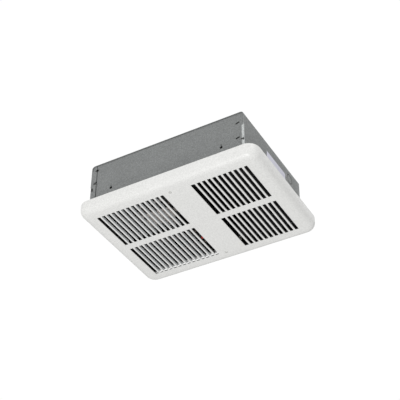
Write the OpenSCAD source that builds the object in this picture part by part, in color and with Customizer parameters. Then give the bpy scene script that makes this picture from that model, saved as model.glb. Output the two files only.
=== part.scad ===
// Ceiling mounted fan heater: a galvanised box that is recessed in the ceiling, a heater
// chassis inside it, and a louvred steel cover under it.
// Millimetres, +Z up. The origin is the middle of the ceiling plane, where the cover's rim rests.
// +X runs along the long side, from the outlet half to the intake half.

/* [Cover] */
// Length of the cover along the ceiling
cover_len = 450; // [440:1:480]
// Width of the cover
cover_wid = 323; // [318:1:350]
// Depth of the cover below the ceiling
cover_depth = 30; // [29:0.5:36]
// Sheet of the cover
cover_sheet = 1; // [0.8:0.1:1.4]
// Radius of the cover's corners, seen from below
cover_corner_r = 27; // [24:1:34]
// Radius of the rolled edge all round
cover_edge_r = 18; // [12:1:22]

/* [Louvres] */
// Distance from one slot to the next
slot_pitch = 12.7; // [12.2:0.1:12.8]
// Open width of a slot
slot_w = 7.6; // [6:0.1:8]
// Length of a slot
slot_len = 118; // [100:1:119]
// Slots in each outlet group
outlet_slots = 14; // [12:1:14]
// Slots in each intake group
intake_slots = 11; // [9:1:11]
// Blank band between the outlet and intake groups
middle_band = 71.6; // [68:0.1:74]
// Bar between the near and the far groups
centre_bar = 18.3; // [14:0.1:19]
// Height of a vane above the cover's lower face
vane_h = 7; // [5:0.1:7.5]
// Outer radius of the bend at the foot of a vane
vane_bend_r = 2.4; // [1.8:0.1:3]
// Distance from a slot's end to its vane
vane_relief = 6; // [2:0.1:8]

/* [Recess box] */
// Length of the box
box_len = 396; // [394:1:408]
// Width of the box
box_wid = 282; // [280:1:296]
// Height of the box above the ceiling plane
box_rise = 115.5; // [112:0.5:140]
// Reach of the box below the ceiling plane
box_drop = 4; // [3:0.5:6]
// Sheet of the box
box_sheet = 1.2; // [0.9:0.1:1.4]
// Radius of the folds between the top and the ends
box_fold_r = 8; // [5:0.5:12]
// Distance of the box's middle from the cover's middle
box_shift_x = -6.8; // [-7.5:0.1:-5]
// Width of the return flange at the outlet end
outlet_flange_w = 14; // [10:0.5:18]
// Width of the return flange at the intake end
intake_flange_w = 7; // [5:0.5:9]
// Height of the outlet end's flange above the ceiling plane
outlet_flange_top = 100; // [90:1:104]
// Height of the intake end's flange above the ceiling plane
intake_flange_top = 76; // [66:1:90]
// Radius of the relief holes at the flanges
relief_r = 2.2; // [1.5:0.1:3]
// Width of the clearance slots through the corners
corner_slot_w = 3; // [2:0.1:4]
// Height of the clearance slots through the corners
corner_slot_h = 7; // [5:0.5:9]
// Height of the outlet end's corner slot
outlet_corner_slot_z = 46; // [40:1:60]
// Height of the intake end's corner slot
intake_corner_slot_z = 32; // [28:1:44]

/* [Fixing holes] */
// Distance between the two keyholes of a side
keyhole_gap = 284; // [270:1:290]
// Radius of a keyhole's round end
keyhole_r = 3.4; // [2.5:0.1:3.6]
// Width of a keyhole's neck
keyhole_neck_w = 1.8; // [1.5:0.1:2.4]
// Length of a keyhole's neck above the round end's middle
keyhole_neck_len = 9; // [8:0.5:16]
// Height of the keyholes
keyhole_z = 34; // [26:1:42]
// Length of the oblong holes by the intake end
oblong_len = 10.5; // [7:0.5:12]
// Width of the oblong holes
oblong_w = 4.2; // [3:0.1:4.5]
// Tilt of the oblong holes
oblong_tilt = 16; // [0:1:25]
// Distance of the oblong holes from the intake end
oblong_inset = 15.5; // [14:0.5:22]
// Height of the upper oblong hole
oblong_upper_z = 87; // [80:1:95]
// Height of the lower oblong hole
oblong_lower_z = 44; // [38:1:60]
// Radius of the cable holes in the intake end
cable_r = 11.1; // [9:0.1:12]
// Clearance round the disc left in the upper cable hole
disc_clear = 0.25; // [0.2:0.05:0.4]
// Distance of the cable holes from the box's middle line
cable_y = 87; // [75:1:95]
// Height of the upper cable hole, which its disc still closes
cable_upper_z = 85; // [80:1:90]
// Height of the lower cable hole, which is open
cable_lower_z = 38; // [32:1:45]

/* [Bare label] */
// Length of the label
label_len = 93; // [60:1:100]
// Height of the label
label_h = 62; // [40:1:64]
// Thickness of the label
label_t = 0.25; // [0.15:0.05:0.4]
// Distance of the label's middle from the box's middle line
label_y = 16.5; // [0:0.5:20]
// Height of the label's lower edge
label_z = 22; // [10:1:30]

/* [Cover fixings] */
// Distance of the cover screws from the cover's middle, along the length
cover_screw_x = 2; // [0:0.5:4]
// Distance of the cover screws from the cover's middle, across
cover_screw_y = 128; // [125:0.5:131]
// Radius of a cover screw's shank
cover_screw_r = 2; // [1.6:0.1:2.4]
// Radius of a cover screw's head
cover_head_r = 3.6; // [3.2:0.1:4.5]
// Height of a cover screw's head
cover_head_h = 1.6; // [1.2:0.1:2.2]
// Height of the screw brackets above the ceiling plane
bracket_z = 2; // [1:0.5:5]
// Width of a screw bracket
bracket_w = 15; // [12:0.5:15.5]
// Radius of the plug's head
plug_head_r = 4.6; // [4.2:0.1:5]
// Radius of the plug's shank
plug_r = 3.3; // [2.8:0.1:3.6]
// Distance from the plug to the first intake slot
plug_inset = 8.5; // [7.5:0.1:14]
// Distance of the plug from the cover's middle, across
plug_y = 112.8; // [105:0.1:113]

/* [Heating zone] */
// Sheet of the heat shield
shield_sheet = 0.8; // [0.6:0.1:1]
// Distance from the outlet slots to the heat shield's ends
shield_margin = 6; // [5:0.1:6.4]
// Distance from the slots' ends to the heat shield's sides
shield_side_margin = 1; // [0.5:0.1:2]
// Lower edge of the heat shield
shield_low_z = -14; // [-18:0.5:-12]
// Height of the bright collar below the heat shield
collar_drop = 8; // [6:0.5:8]
// Lap of the collar over the heat shield
collar_lap = 6; // [4:0.5:8]
// Sheet of the collar
collar_sheet = 1; // [0.8:0.1:1.2]
// Width of the collar's inward hem
collar_hem = 4; // [3:0.5:6]
// Height of the fan deck above the ceiling plane
deck_z = 50; // [48:0.5:56]
// Sheet of the chassis
chassis_sheet = 1.2; // [0.9:0.1:1.4]
// Turned-up edge of the chassis along the long sides
chassis_edge_h = 12; // [8:0.5:16]
// Clearance between the chassis and the box
chassis_clear = 0.3; // [0.2:0.05:0.5]
// Radius of the chassis screws
chassis_screw_r = 1.9; // [1.6:0.1:2.1]
// Distance of the chassis screws from the heating zone's middle
chassis_screw_gap = 110; // [90:1:150]

/* [Element] */
// Radius of an element's sheath
sheath_r = 4; // [3.5:0.1:4.5]
// Distance between the two passes of an element
pass_gap = 47; // [46:0.5:50]
// Distance of an element's middle from the box's middle line
element_mid_y = 84.5; // [84:0.5:87]
// Distance from the bends' fins to the heat shield's end
element_end_gap = 12; // [8:0.5:20]
// Height of the elements above the ceiling plane
element_z = 5; // [2:0.5:5.5]
// Radius of the fins
fin_r = 9.5; // [8:0.5:10]
// Thickness of a fin
fin_t = 0.6; // [0.5:0.1:0.9]
// Distance from fin to fin
fin_pitch = 7; // [6:0.5:10]
// Clearance round a sheath
sheath_clear = 0.1; // [0.05:0.05:0.2]
// Radius of the gland nuts at the partition
gland_r = 7; // [6:0.1:8]
// Length of the gland nuts
gland_len = 6; // [4:0.5:8]

/* [Fan and motor] */
// Radius of the fan
fan_r = 84; // [70:0.5:85]
// Clearance between the fan and its ring
fan_clear = 3; // [2:0.1:4]
// Blades
blade_count = 5; // [3:1:6]
// Thickness of a blade
blade_t = 1.2; // [1:0.1:1.6]
// Radius of the blades' curve
blade_curve_r = 55; // [48:1:70]
// Radius of the fan's hub
hub_r = 11; // [10:0.5:13]
// Height of the fan's hub
hub_h = 13; // [11:0.5:15]
// Radius of the plate that joins the blades to the hub
hub_plate_r = 36; // [30:0.5:37]
// Distance from the deck down to the middle of the fan
fan_drop = 14; // [13:0.5:15]
// Radius of the motor shaft
shaft_r = 3; // [2.5:0.1:4]
// Running clearance of the shaft in its bushes
shaft_clear = 0.06; // [0.03:0.01:0.09]
// Outer radius of the bushes
bush_r = 5.5; // [5.2:0.1:6.5]
// Width of the motor's core, along the length
core_wid = 62; // [58:1:66]
// Thickness of the motor's core
core_h = 22; // [18:0.5:24]
// Height of the motor's frames at each side of the core
frame_h = 11; // [11:0.5:12]
// Radius of the rotor
rotor_r = 15; // [13:0.1:16]
// Air gap round the rotor
rotor_gap = 0.5; // [0.4:0.05:0.8]
// Width of the bar that carries the motor
bridge_wid = 62; // [60:1:70]
// Sheet of the bar that carries the motor
bridge_sheet = 1.5; // [1.2:0.1:2]

/* [Controls] */
// Radius of the reset button
button_r = 2.8; // [2.2:0.1:3.4]
// Travel of the reset button
button_travel = 1.5; // [1:0.1:2]
// Distance from the partition to the reset button
button_inset = 28; // [24:0.5:32]
// Distance of the reset button from the middle line
button_y = 87; // [85:0.5:88]
// Height of the cut-out's lower face
cutout_z = 3; // [2.5:0.5:5]
// Radius of the cut-out's body
cutout_r = 9; // [8:0.5:10]
// Height of the cut-out's body
cutout_h = 13; // [12.5:0.5:14]
// Width of the thermostat's body
stat_wid = 34; // [28:1:36]
// Depth of the thermostat's body, across the heater
stat_dep = 28; // [24:1:30]
// Height of the thermostat's body
stat_h = 22; // [18:1:26]
// Radius of the thermostat's spindle
spindle_r = 3; // [2.5:0.1:3.2]
// Distance from the spindle's tip to the cover's lower face
spindle_tip_gap = 6; // [5:0.5:8]
// Length of the terminal block
block_len = 60; // [50:1:64]
// Radius of an internal lead
lead_r = 1.3; // [1:0.1:1.6]

/* [Lining] */
// Thickness of the black lining in the intake half
lining_t = 4; // [3:0.5:6]

/* [Hidden] */
$fn = 64;
eps = 0.01;
cut = 1;

// Cover and louvre places
face_z = -cover_depth;
outlet_len = (outlet_slots - 1) * slot_pitch + slot_w;
intake_len = (intake_slots - 1) * slot_pitch + slot_w;
outlet_x0 = -(outlet_len + middle_band + intake_len) / 2;
outlet_x1 = outlet_x0 + outlet_len;
intake_x0 = outlet_x1 + middle_band;
slot_y0 = centre_bar / 2;
slot_y1 = slot_y0 + slot_len;
plug_x = intake_x0 - plug_inset;

// Box places
box_x0 = box_shift_x - box_len / 2;
box_x1 = box_shift_x + box_len / 2;
box_y = box_wid / 2;
wall_out_y = box_y - box_sheet;
wall_in_y = wall_out_y - box_sheet;
lip_gap = 0.65;
inner_fold_r = box_fold_r - box_sheet;

// Heating zone places
zone_x0 = outlet_x0 - shield_margin;
zone_x1 = outlet_x1 + shield_margin;
zone_y = slot_y1 + shield_side_margin;
fan_x = (zone_x0 + zone_x1) / 2;
shield_y = zone_y + shield_sheet;
collar_y = shield_y + collar_sheet;
collar_z0 = shield_low_z - collar_drop;
lip_y = collar_y + lip_gap;
deck_z0 = deck_z - chassis_sheet;
partition_x0 = zone_x1 + shield_sheet;
partition_x1 = partition_x0 + chassis_sheet;
chassis_y = wall_in_y - chassis_clear;
chassis_screw_y = (lip_y + wall_in_y) / 2;
tab_z1 = -box_drop;
tab_z0 = tab_z1 - shield_sheet;
tab_w = 16;
screw_head_h = 2;
screw_head_r = 3.2;
bracket_reach = 7;
bracket_leg_h = 14;
chassis_screw_xs = [fan_x - chassis_screw_gap / 2, fan_x + chassis_screw_gap / 2];

// Element places
bend_r = pass_gap / 2;
bend_x = zone_x0 + element_end_gap + fin_r + bend_r;
outer_pass_y = element_mid_y + bend_r;
inner_pass_y = element_mid_y - bend_r;
pass_ys = [-outer_pass_y, -inner_pass_y, inner_pass_y, outer_pass_y];
sheath_x1 = partition_x1 + gland_len + 2;
insulator_len = 6;
insulator_r = 3.2;
pin_len = 7;
pin_r = 1.6;
pin_x1 = sheath_x1 + insulator_len + pin_len;
element_bracket_xs = [bend_x + 12, zone_x1 - 14];
element_bracket_t = 1.2;
element_bracket_foot = 9;
element_bracket_z0 = element_z - 9;
element_bracket_z1 = element_z + 9;

// Fan and motor places
fan_z = deck_z - fan_drop;
blade_lean = 22;
blade_wid = 44;
arm_wid = 13;
arm_lap = 3;
paddle_r0 = fan_r * 0.45;
ring_r = fan_r + fan_clear;
ring_t = 1;
ring_lip = 5;
ring_low_z = fan_z - 6;
bridge_z0 = deck_z + ring_t;
bridge_z1 = bridge_z0 + bridge_sheet;
core_z0 = bridge_z1 + frame_h;
core_z1 = core_z0 + core_h;
motor_top_z = core_z1 + frame_h;
core_back_y = 27;
core_front_y = -58;
window_y0 = -44;
window_y1 = -21;
window_x = 17;
motor_bolt_x = 24;
motor_bolt_r = 1.9;
bolt_head_r = 3.4;
bolt_head_h = 2.5;
bolt_nut_r = 4;
frame_t = 3;
coil_grow = 6.5;
coil_x = window_x - 1.5;
shaft_low_z = fan_z - hub_h / 2 - 1;
boss_r = bush_r + 3;
bridge_y = ring_r + 24;
bridge_screw_y = ring_r + 15;
bridge_screw_x = 18;
bridge_screw_r = 1.5;
bridge_head_r = 3;

// Control places
button_x = zone_x1 - button_inset;
button_len = 4;
cutout_z1 = cutout_z + cutout_h;
cutout_bracket_t = 1.2;
cutout_foot = cutout_r + 1;
cutout_leg_h = 12;
cutout_tab = 5;
stat_z = -4;
stat_z1 = stat_z + stat_h;
spindle_low_z = face_z + spindle_tip_gap;
spindle_clear = 0.08;
spindle_in = 9;
spindle_round_len = 6;
stat_neck_len = 5;
stat_leg_h = 5;
block_mid_y = -60;
block_y0 = block_mid_y - block_len / 2;
block_z = 18;
block_dep = 20;
block_h = 18;
poles = 4;
pole_gap = block_len / poles;
pole_floor = 8;
pole_r = 4;
pole_screw_r = 3;
earth_r = 4.5;
earth_h = 3;
earth_y = 60;
lead_bend = 8;
lead_clear = 0.3;
cutout_lead_z = cutout_z1 - 2;
delay_x = box_x0 + 34;
delay_y = chassis_y - 34;
delay_r = 8;
delay_flange_r = 11;
delay_h = 9;
delay_tab_h = 6;

// Lining places
lining_lap = 50;

// A box between two corners
module block(lo, hi) {
    translate(lo) cube(hi - lo);
}

// A rod along X from x0 to x1
module rod_x(x0, x1, y, z, r) {
    translate([x0, y, z]) rotate([0, 90, 0]) cylinder(r = r, h = x1 - x0);
}

// A rod along Z from z0 to z1
module rod_z(x, y, z0, z1, r) {
    translate([x, y, z0]) cylinder(r = r, h = z1 - z0);
}

// A flat rectangle with round corners, centred
module round_rect(half_x, half_y, r) {
    square([2 * half_x, 2 * (half_y - r)], center = true);
    square([2 * (half_x - r), 2 * half_y], center = true);
    for (sx = [-1, 1], sy = [-1, 1]) {
        translate([sx * (half_x - r), sy * (half_y - r)]) circle(r);
    }
}

// The upright outline of the box: flat at the foot, round at its two top corners
module round_top(x0, x1, z0, z1, r) {
    translate([x0, z0]) square([x1 - x0, z1 - r - z0]);
    translate([x0 + r, z0]) square([x1 - x0 - 2 * r, z1 - z0]);
    for (x = [x0 + r, x1 - r]) {
        translate([x, z1 - r]) circle(r);
    }
}

// Puts a flat upright drawing (X, Z) on the plane y = y0 and gives it a thickness towards +Y
module upright(y0, t) {
    translate([0, y0 + t, 0]) rotate([90, 0, 0]) linear_extrude(t) children();
}

// ---------- cover ----------

// Section of the cover's rolled edge: u outwards from the side, v up from the lower face
module edge_section() {
    translate([-cover_edge_r, cover_edge_r]) intersection() {
        difference() {
            circle(cover_edge_r);
            circle(cover_edge_r - cover_sheet);
        }
        translate([0, -cover_edge_r]) square(cover_edge_r);
    }
    translate([-cover_sheet, cover_edge_r]) square([cover_sheet, cover_depth - cover_edge_r]);
}

// The four rolled corners and sides
module cover_rim() {
    mid_x = cover_len / 2 - cover_corner_r;
    mid_y = cover_wid / 2 - cover_corner_r;
    for (sx = [0, 1], sy = [0, 1]) {
        mirror([sx, 0, 0]) mirror([0, sy, 0]) translate([mid_x, mid_y, face_z])
            rotate_extrude(angle = 90) translate([cover_corner_r, 0]) edge_section();
    }
    for (s = [0, 1]) {
        mirror([s, 0, 0]) translate([cover_len / 2, mid_y, face_z]) rotate([90, 0, 0])
            linear_extrude(2 * mid_y) edge_section();
        mirror([0, s, 0]) translate([-mid_x, cover_wid / 2, face_z]) rotate([90, 0, 90])
            linear_extrude(2 * mid_x) edge_section();
    }
}

// The slots of one group, as flat cut-outs. Past the first slot each also takes the bend's width.
module group_slots(x0, count) {
    for (i = [0 : count - 1]) {
        bend = i > 0 ? vane_bend_r : 0;
        translate([x0 + i * slot_pitch - bend, slot_y0]) square([slot_w + bend, slot_len]);
    }
}

// One vane: a bend at the bar's edge and an upright blade, its outer face at x = 0
module vane_section() {
    translate([-vane_bend_r, vane_bend_r]) intersection() {
        difference() {
            circle(vane_bend_r);
            circle(vane_bend_r - cover_sheet);
        }
        translate([0, -vane_bend_r]) square(vane_bend_r);
    }
    translate([-cover_sheet, vane_bend_r]) square([cover_sheet, vane_h - vane_bend_r]);
}

// The vanes of one group
module group_vanes(x0, count) {
    for (i = [1 : count - 1]) {
        translate([x0 + i * slot_pitch, slot_y1 - vane_relief, face_z]) rotate([90, 0, 0])
            linear_extrude(slot_len - 2 * vane_relief) vane_section();
    }
}

module face_cover() color([0.89, 0.89, 0.87]) {
    difference() {
        union() {
            cover_rim();
            translate([0, 0, face_z]) linear_extrude(cover_sheet) difference() {
                round_rect(cover_len / 2 - cover_edge_r, cover_wid / 2 - cover_edge_r,
                    cover_corner_r - cover_edge_r);
                for (s = [0, 1]) {
                    mirror([0, s, 0]) {
                        group_slots(outlet_x0, outlet_slots);
                        group_slots(intake_x0, intake_slots);
                    }
                }
            }
            for (s = [0, 1]) {
                mirror([0, s, 0]) {
                    group_vanes(outlet_x0, outlet_slots);
                    group_vanes(intake_x0, intake_slots);
                }
            }
        }
        for (s = [-1, 1]) {
            rod_z(cover_screw_x, s * cover_screw_y, face_z - cut, face_z + cover_sheet + cut,
                cover_screw_r + 0.3);
        }
        rod_z(plug_x, plug_y, face_z - cut, face_z + cover_sheet + cut, plug_r + 0.1);
    }
}

module cover_screws() color([0.86, 0.86, 0.84]) {
    for (s = [-1, 1]) {
        difference() {
            union() {
                rod_z(cover_screw_x, s * cover_screw_y, face_z - cover_head_h, face_z, cover_head_r);
                rod_z(cover_screw_x, s * cover_screw_y, face_z - eps, bracket_z + 8, cover_screw_r);
            }
            translate([cover_screw_x, s * cover_screw_y, face_z - cover_head_h])
                cube([2 * cover_head_r + cut, 0.9, 1.4], center = true);
        }
    }
}

module cover_screw_brackets() color([0.6, 0.61, 0.6]) {
    reach = wall_in_y - cover_screw_y + bracket_reach;
    for (s = [0, 1]) {
        mirror([0, s, 0]) difference() {
            union() {
                block([cover_screw_x - bracket_w / 2, wall_in_y - reach, bracket_z],
                    [cover_screw_x + bracket_w / 2, wall_in_y, bracket_z + box_sheet]);
                block([cover_screw_x - bracket_w / 2, wall_in_y - box_sheet, bracket_z],
                    [cover_screw_x + bracket_w / 2, wall_in_y, bracket_z + bracket_leg_h]);
            }
            rod_z(cover_screw_x, cover_screw_y, bracket_z - cut, bracket_z + box_sheet + cut,
                cover_screw_r + 0.05);
        }
    }
}

module cover_plug() color([0.84, 0.84, 0.82]) {
    rod_z(plug_x, plug_y, face_z - 0.7, face_z, plug_head_r);
    rod_z(plug_x, plug_y, face_z - eps, face_z + 2.5, plug_r);
}

// ---------- recess box ----------

// Relief holes and corner slots of one side, seen square on. They go through the flanges and the wall.
module flange_cuts() {
    translate([box_x0 + outlet_flange_w, outlet_flange_top]) circle(relief_r);
    translate([box_x0 + outlet_flange_w, (outlet_flange_top + outlet_corner_slot_z) / 2 - 8])
        circle(relief_r * 0.8);
    translate([box_x0 - cut, outlet_corner_slot_z]) square([corner_slot_w + cut, corner_slot_h]);
    translate([box_x1 - corner_slot_w, intake_corner_slot_z])
        square([corner_slot_w + cut, corner_slot_h]);
}

module top_and_ends() color([0.6, 0.61, 0.6]) {
    difference() {
        union() {
            upright(-box_y, box_wid) difference() {
                round_top(box_x0, box_x1, -box_drop, box_rise, box_fold_r);
                round_top(box_x0 + box_sheet, box_x1 - box_sheet, -box_drop - cut,
                    box_rise - box_sheet, inner_fold_r);
            }
            for (y = [-box_y, box_y - box_sheet]) {
                block([box_x0, y, -box_drop], [box_x0 + outlet_flange_w, y + box_sheet, outlet_flange_top]);
                block([box_x1 - intake_flange_w, y, -box_drop], [box_x1, y + box_sheet, intake_flange_top]);
            }
        }
        for (y = [-box_y - cut, box_y - box_sheet - eps]) {
            upright(y, box_sheet + cut + eps) flange_cuts();
        }
        for (z = [cable_lower_z, cable_upper_z]) {
            rod_x(box_x1 - box_sheet - cut, box_x1 + cut, cable_y, z, cable_r);
        }
    }
}

// A keyhole: a round hole with a narrow neck above it
module keyhole() {
    circle(keyhole_r);
    translate([-keyhole_neck_w / 2, 0]) square([keyhole_neck_w, keyhole_neck_len]);
}

// An oblong hole
module oblong() {
    half = (oblong_len - oblong_w) / 2;
    square([2 * half, oblong_w], center = true);
    for (s = [-1, 1]) {
        translate([s * half, 0]) circle(oblong_w / 2);
    }
}

// The near long side with its bottom lip, at negative Y
module side_wall() {
    difference() {
        union() {
            upright(-wall_out_y, box_sheet) round_top(box_x0 + box_sheet, box_x1 - box_sheet,
                -box_drop, box_rise - box_sheet, inner_fold_r);
            block([box_x0 + box_sheet, -wall_in_y - eps, -box_drop],
                [box_x1 - box_sheet, -lip_y, -box_drop + box_sheet]);
        }
        upright(-wall_out_y - cut, box_sheet + 2 * cut) {
            for (s = [-1, 1]) {
                translate([box_shift_x + s * keyhole_gap / 2, keyhole_z]) keyhole();
            }
            for (z = [oblong_lower_z, oblong_upper_z]) {
                translate([box_x1 - oblong_inset, z]) rotate(oblong_tilt) oblong();
            }
            flange_cuts();
        }
        for (x = chassis_screw_xs) {
            rod_z(x, -chassis_screw_y, -box_drop - cut, -box_drop + box_sheet + cut, chassis_screw_r + 0.05);
        }
    }
}

module near_side_wall() color([0.58, 0.59, 0.58]) side_wall();

module far_side_wall() color([0.58, 0.59, 0.58]) mirror([0, 1, 0]) side_wall();

module bare_label() color([0.9, 0.9, 0.95]) {
    block([box_x1, label_y - label_len / 2, label_z],
        [box_x1 + label_t, label_y + label_len / 2, label_z + label_h]);
}

module knockout_disc() color([0.58, 0.59, 0.58]) {
    rod_x(box_x1 - box_sheet, box_x1, cable_y, cable_upper_z, cable_r - disc_clear);
}

// ---------- heater chassis ----------

module heater_chassis() color([0.09, 0.09, 0.09]) {
    difference() {
        union() {
            block([box_x0 + box_sheet + chassis_clear, -chassis_y, deck_z0],
                [partition_x1, chassis_y, deck_z]);
            block([partition_x0, -shield_y, collar_z0], [partition_x1, shield_y, deck_z]);
            for (s = [0, 1]) {
                mirror([0, s, 0])
                    block([box_x0 + box_sheet + box_fold_r, chassis_y - chassis_sheet, deck_z - eps],
                        [partition_x1, chassis_y, deck_z + chassis_edge_h]);
            }
        }
        rod_z(fan_x, 0, deck_z0 - cut, deck_z + cut, ring_r + ring_t + 0.3);
        for (y = pass_ys) {
            rod_x(partition_x0 - cut, partition_x1 + cut, y, element_z, sheath_r + sheath_clear);
        }
        for (y = [button_y - 5, button_y + 5]) {
            rod_x(partition_x0 - cut, partition_x1 + cut, y, cutout_lead_z, lead_r + lead_clear);
        }
        for (sx = [-1, 1], sy = [-1, 1]) {
            rod_z(fan_x + sx * bridge_screw_x, sy * bridge_screw_y, deck_z0 - cut, deck_z + cut,
                bridge_screw_r + 0.1);
        }
    }
}

module heat_shield() color([0.72, 0.72, 0.7]) {
    difference() {
        union() {
            difference() {
                block([zone_x0 - shield_sheet, -shield_y, shield_low_z], [partition_x0, shield_y, deck_z0]);
                block([zone_x0, -zone_y, shield_low_z - cut], [zone_x1, zone_y, deck_z0 + cut]);
            }
            for (x = chassis_screw_xs, s = [0, 1]) {
                mirror([0, s, 0])
                    block([x - tab_w / 2, zone_y + eps, tab_z0], [x + tab_w / 2, wall_in_y - 1, tab_z1]);
            }
        }
        for (y = pass_ys) {
            rod_x(zone_x1 - cut, partition_x0 + cut, y, element_z, sheath_r + sheath_clear);
        }
        for (y = [button_y - 5, button_y + 5]) {
            rod_x(zone_x1 - cut, partition_x0 + cut, y, cutout_lead_z, lead_r + lead_clear);
        }
        for (x = chassis_screw_xs, s = [-1, 1]) {
            rod_z(x, s * chassis_screw_y, tab_z0 - cut, tab_z1 + cut, chassis_screw_r + 0.1);
        }
    }
}

module outlet_collar() color([0.8, 0.8, 0.79]) {
    x0 = zone_x0 - shield_sheet;
    difference() {
        block([x0 - collar_sheet, -collar_y, collar_z0],
            [partition_x0, collar_y, shield_low_z + collar_lap]);
        block([x0, -shield_y, collar_z0 + collar_sheet],
            [partition_x0 + cut, shield_y, shield_low_z + collar_lap + cut]);
        block([zone_x0 + collar_hem - 1, -zone_y + collar_hem, collar_z0 - cut],
            [partition_x0 + cut, zone_y - collar_hem, collar_z0 + collar_sheet + cut]);
    }
}

// Black collar round the intake half, hung under the box's lips
module intake_collar() color([0.05, 0.05, 0.05]) {
    x0 = cover_screw_x + bracket_w / 2 + 4;
    x1 = box_x1 - box_sheet;
    leg_y = lip_y + 0.5;
    for (s = [0, 1]) {
        mirror([0, s, 0]) {
            block([x0, leg_y, collar_z0], [x1, leg_y + collar_sheet, -box_drop]);
            block([x0, leg_y, -box_drop - collar_sheet], [x1, wall_in_y - 1, -box_drop]);
        }
    }
    block([x1 - collar_sheet, -leg_y - eps, collar_z0], [x1, leg_y + eps, -box_drop]);
    block([x1 - collar_sheet, 0.2 - lip_y, -box_drop - eps], [x1, lip_y - 0.2, -box_drop + 4]);
}

module chassis_screws() color([0.7, 0.7, 0.68]) {
    for (x = chassis_screw_xs, s = [-1, 1]) {
        rod_z(x, s * chassis_screw_y, tab_z0 - screw_head_h, tab_z0, screw_head_r);
        rod_z(x, s * chassis_screw_y, tab_z0 - eps, tab_z1 + 5, chassis_screw_r);
    }
}

// Black lining of the intake half: three walls and part of the top
module intake_lining() color([0.03, 0.03, 0.03]) {
    side_x0 = cover_screw_x + bracket_w / 2 + 4;
    top_x0 = zone_x1 - lining_lap;
    x1 = box_x1 - box_sheet;
    z1 = box_rise - box_sheet;
    low_z = -box_drop + 4;
    difference() {
        union() {
            block([top_x0, -wall_in_y, z1 - lining_t], [x1 - inner_fold_r, wall_in_y, z1]);
            block([x1 - lining_t, -wall_in_y, low_z], [x1, wall_in_y, z1 - inner_fold_r]);
            for (s = [0, 1]) {
                mirror([0, s, 0]) {
                    block([side_x0, wall_in_y - lining_t, low_z], [x1 - inner_fold_r, wall_in_y, z1]);
                    block([side_x0, wall_in_y - lining_t, low_z], [x1, wall_in_y, z1 - inner_fold_r]);
                }
            }
            block([x1 - inner_fold_r - lining_t, -wall_in_y, z1 - inner_fold_r - lining_t],
                [x1 - inner_fold_r, wall_in_y, z1]);
            block([x1 - inner_fold_r - lining_t, -wall_in_y, z1 - inner_fold_r - lining_t],
                [x1, wall_in_y, z1 - inner_fold_r]);
        }
        for (z = [cable_lower_z, cable_upper_z]) {
            rod_x(x1 - lining_t - inner_fold_r, x1 + cut, cable_y, z, cable_r + 4);
        }
        block([box_shift_x + keyhole_gap / 2 - 9, -wall_in_y - cut, keyhole_z - 9],
            [box_shift_x + keyhole_gap / 2 + 9, -wall_in_y + lining_t + cut,
                keyhole_z + keyhole_neck_len + 4]);
    }
}

// ---------- fan ----------

// Ring with a rolled mouth that lies on the deck
module fan_ring() color([0.76, 0.76, 0.75]) {
    translate([fan_x, 0, 0]) rotate_extrude($fn = 128) {
        translate([ring_r, ring_low_z]) square([ring_t, deck_z + ring_t - ring_low_z]);
        translate([ring_r, deck_z]) square([ring_lip, ring_t]);
    }
}

// Section of a blade across its length: a strip of a drum's wall, leaning
module blade_section() {
    rotate(blade_lean) translate([0, -blade_curve_r]) intersection() {
        difference() {
            circle(blade_curve_r);
            circle(blade_curve_r - blade_t);
        }
        translate([-blade_wid / 2, blade_curve_r / 2]) square([blade_wid, blade_curve_r]);
    }
}

// Plan of a blade: a narrow arm and a broad paddle with a round tip
module blade_plan() {
    translate([0, -arm_wid / 2]) square([paddle_r0 + arm_lap, arm_wid]);
    intersection() {
        circle(fan_r);
        translate([paddle_r0, -fan_r]) square([fan_r, 2 * fan_r]);
    }
}

module blade() {
    intersection() {
        rotate([90, 0, 90]) linear_extrude(fan_r + cut) blade_section();
        translate([0, 0, -fan_drop]) linear_extrude(2 * fan_drop) blade_plan();
    }
}

module fan_wheel() color([0.82, 0.83, 0.84]) {
    difference() {
        translate([fan_x, 0, fan_z]) {
            for (i = [0 : blade_count - 1]) {
                rotate(i * 360 / blade_count) blade();
            }
            rod_z(0, 0, -hub_h / 2, hub_h / 2, hub_r);
            rod_z(0, 0, -blade_t / 2, blade_t / 2, hub_plate_r);
        }
        rod_z(fan_x, 0, fan_z - hub_h, fan_z + hub_h, shaft_r + 0.05);
        rod_x(fan_x - hub_r - cut, fan_x, 0, fan_z + hub_h / 2 - 2.2, 1.3);
    }
}

module fan_set_screw() color([0.3, 0.3, 0.3]) {
    rod_x(fan_x - hub_r, fan_x - shaft_r - 0.1, 0, fan_z + hub_h / 2 - 2.2, 1.25);
}

// ---------- motor ----------

module motor_shaft() color([0.7, 0.7, 0.7]) {
    rod_z(fan_x, 0, shaft_low_z, motor_top_z + 2, shaft_r);
}

module motor_rotor() color([0.6, 0.6, 0.58]) {
    difference() {
        rod_z(fan_x, 0, core_z0 + 0.5, core_z1 - 0.5, rotor_r);
        rod_z(fan_x, 0, core_z0 - cut, core_z1 + cut, shaft_r + 0.02);
    }
}

module motor_core() color([0.35, 0.35, 0.36]) {
    translate([fan_x, 0, 0]) difference() {
        block([-core_wid / 2, core_front_y, core_z0], [core_wid / 2, core_back_y, core_z1]);
        block([-window_x, window_y0, core_z0 - cut], [window_x, window_y1, core_z1 + cut]);
        rod_z(0, 0, core_z0 - cut, core_z1 + cut, rotor_r + rotor_gap);
        for (s = [-1, 1]) {
            rod_z(s * motor_bolt_x, 0, core_z0 - cut, core_z1 + cut, motor_bolt_r + 0.1);
        }
    }
}

module motor_coil() color([0.75, 0.55, 0.2]) {
    translate([fan_x, 0, 0]) difference() {
        block([-coil_x, core_front_y - coil_grow, core_z0 - coil_grow],
            [coil_x, window_y0 + coil_grow, core_z1 + coil_grow]);
        block([-coil_x - cut, core_front_y, core_z0], [coil_x + cut, window_y0, core_z1]);
    }
}

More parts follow.
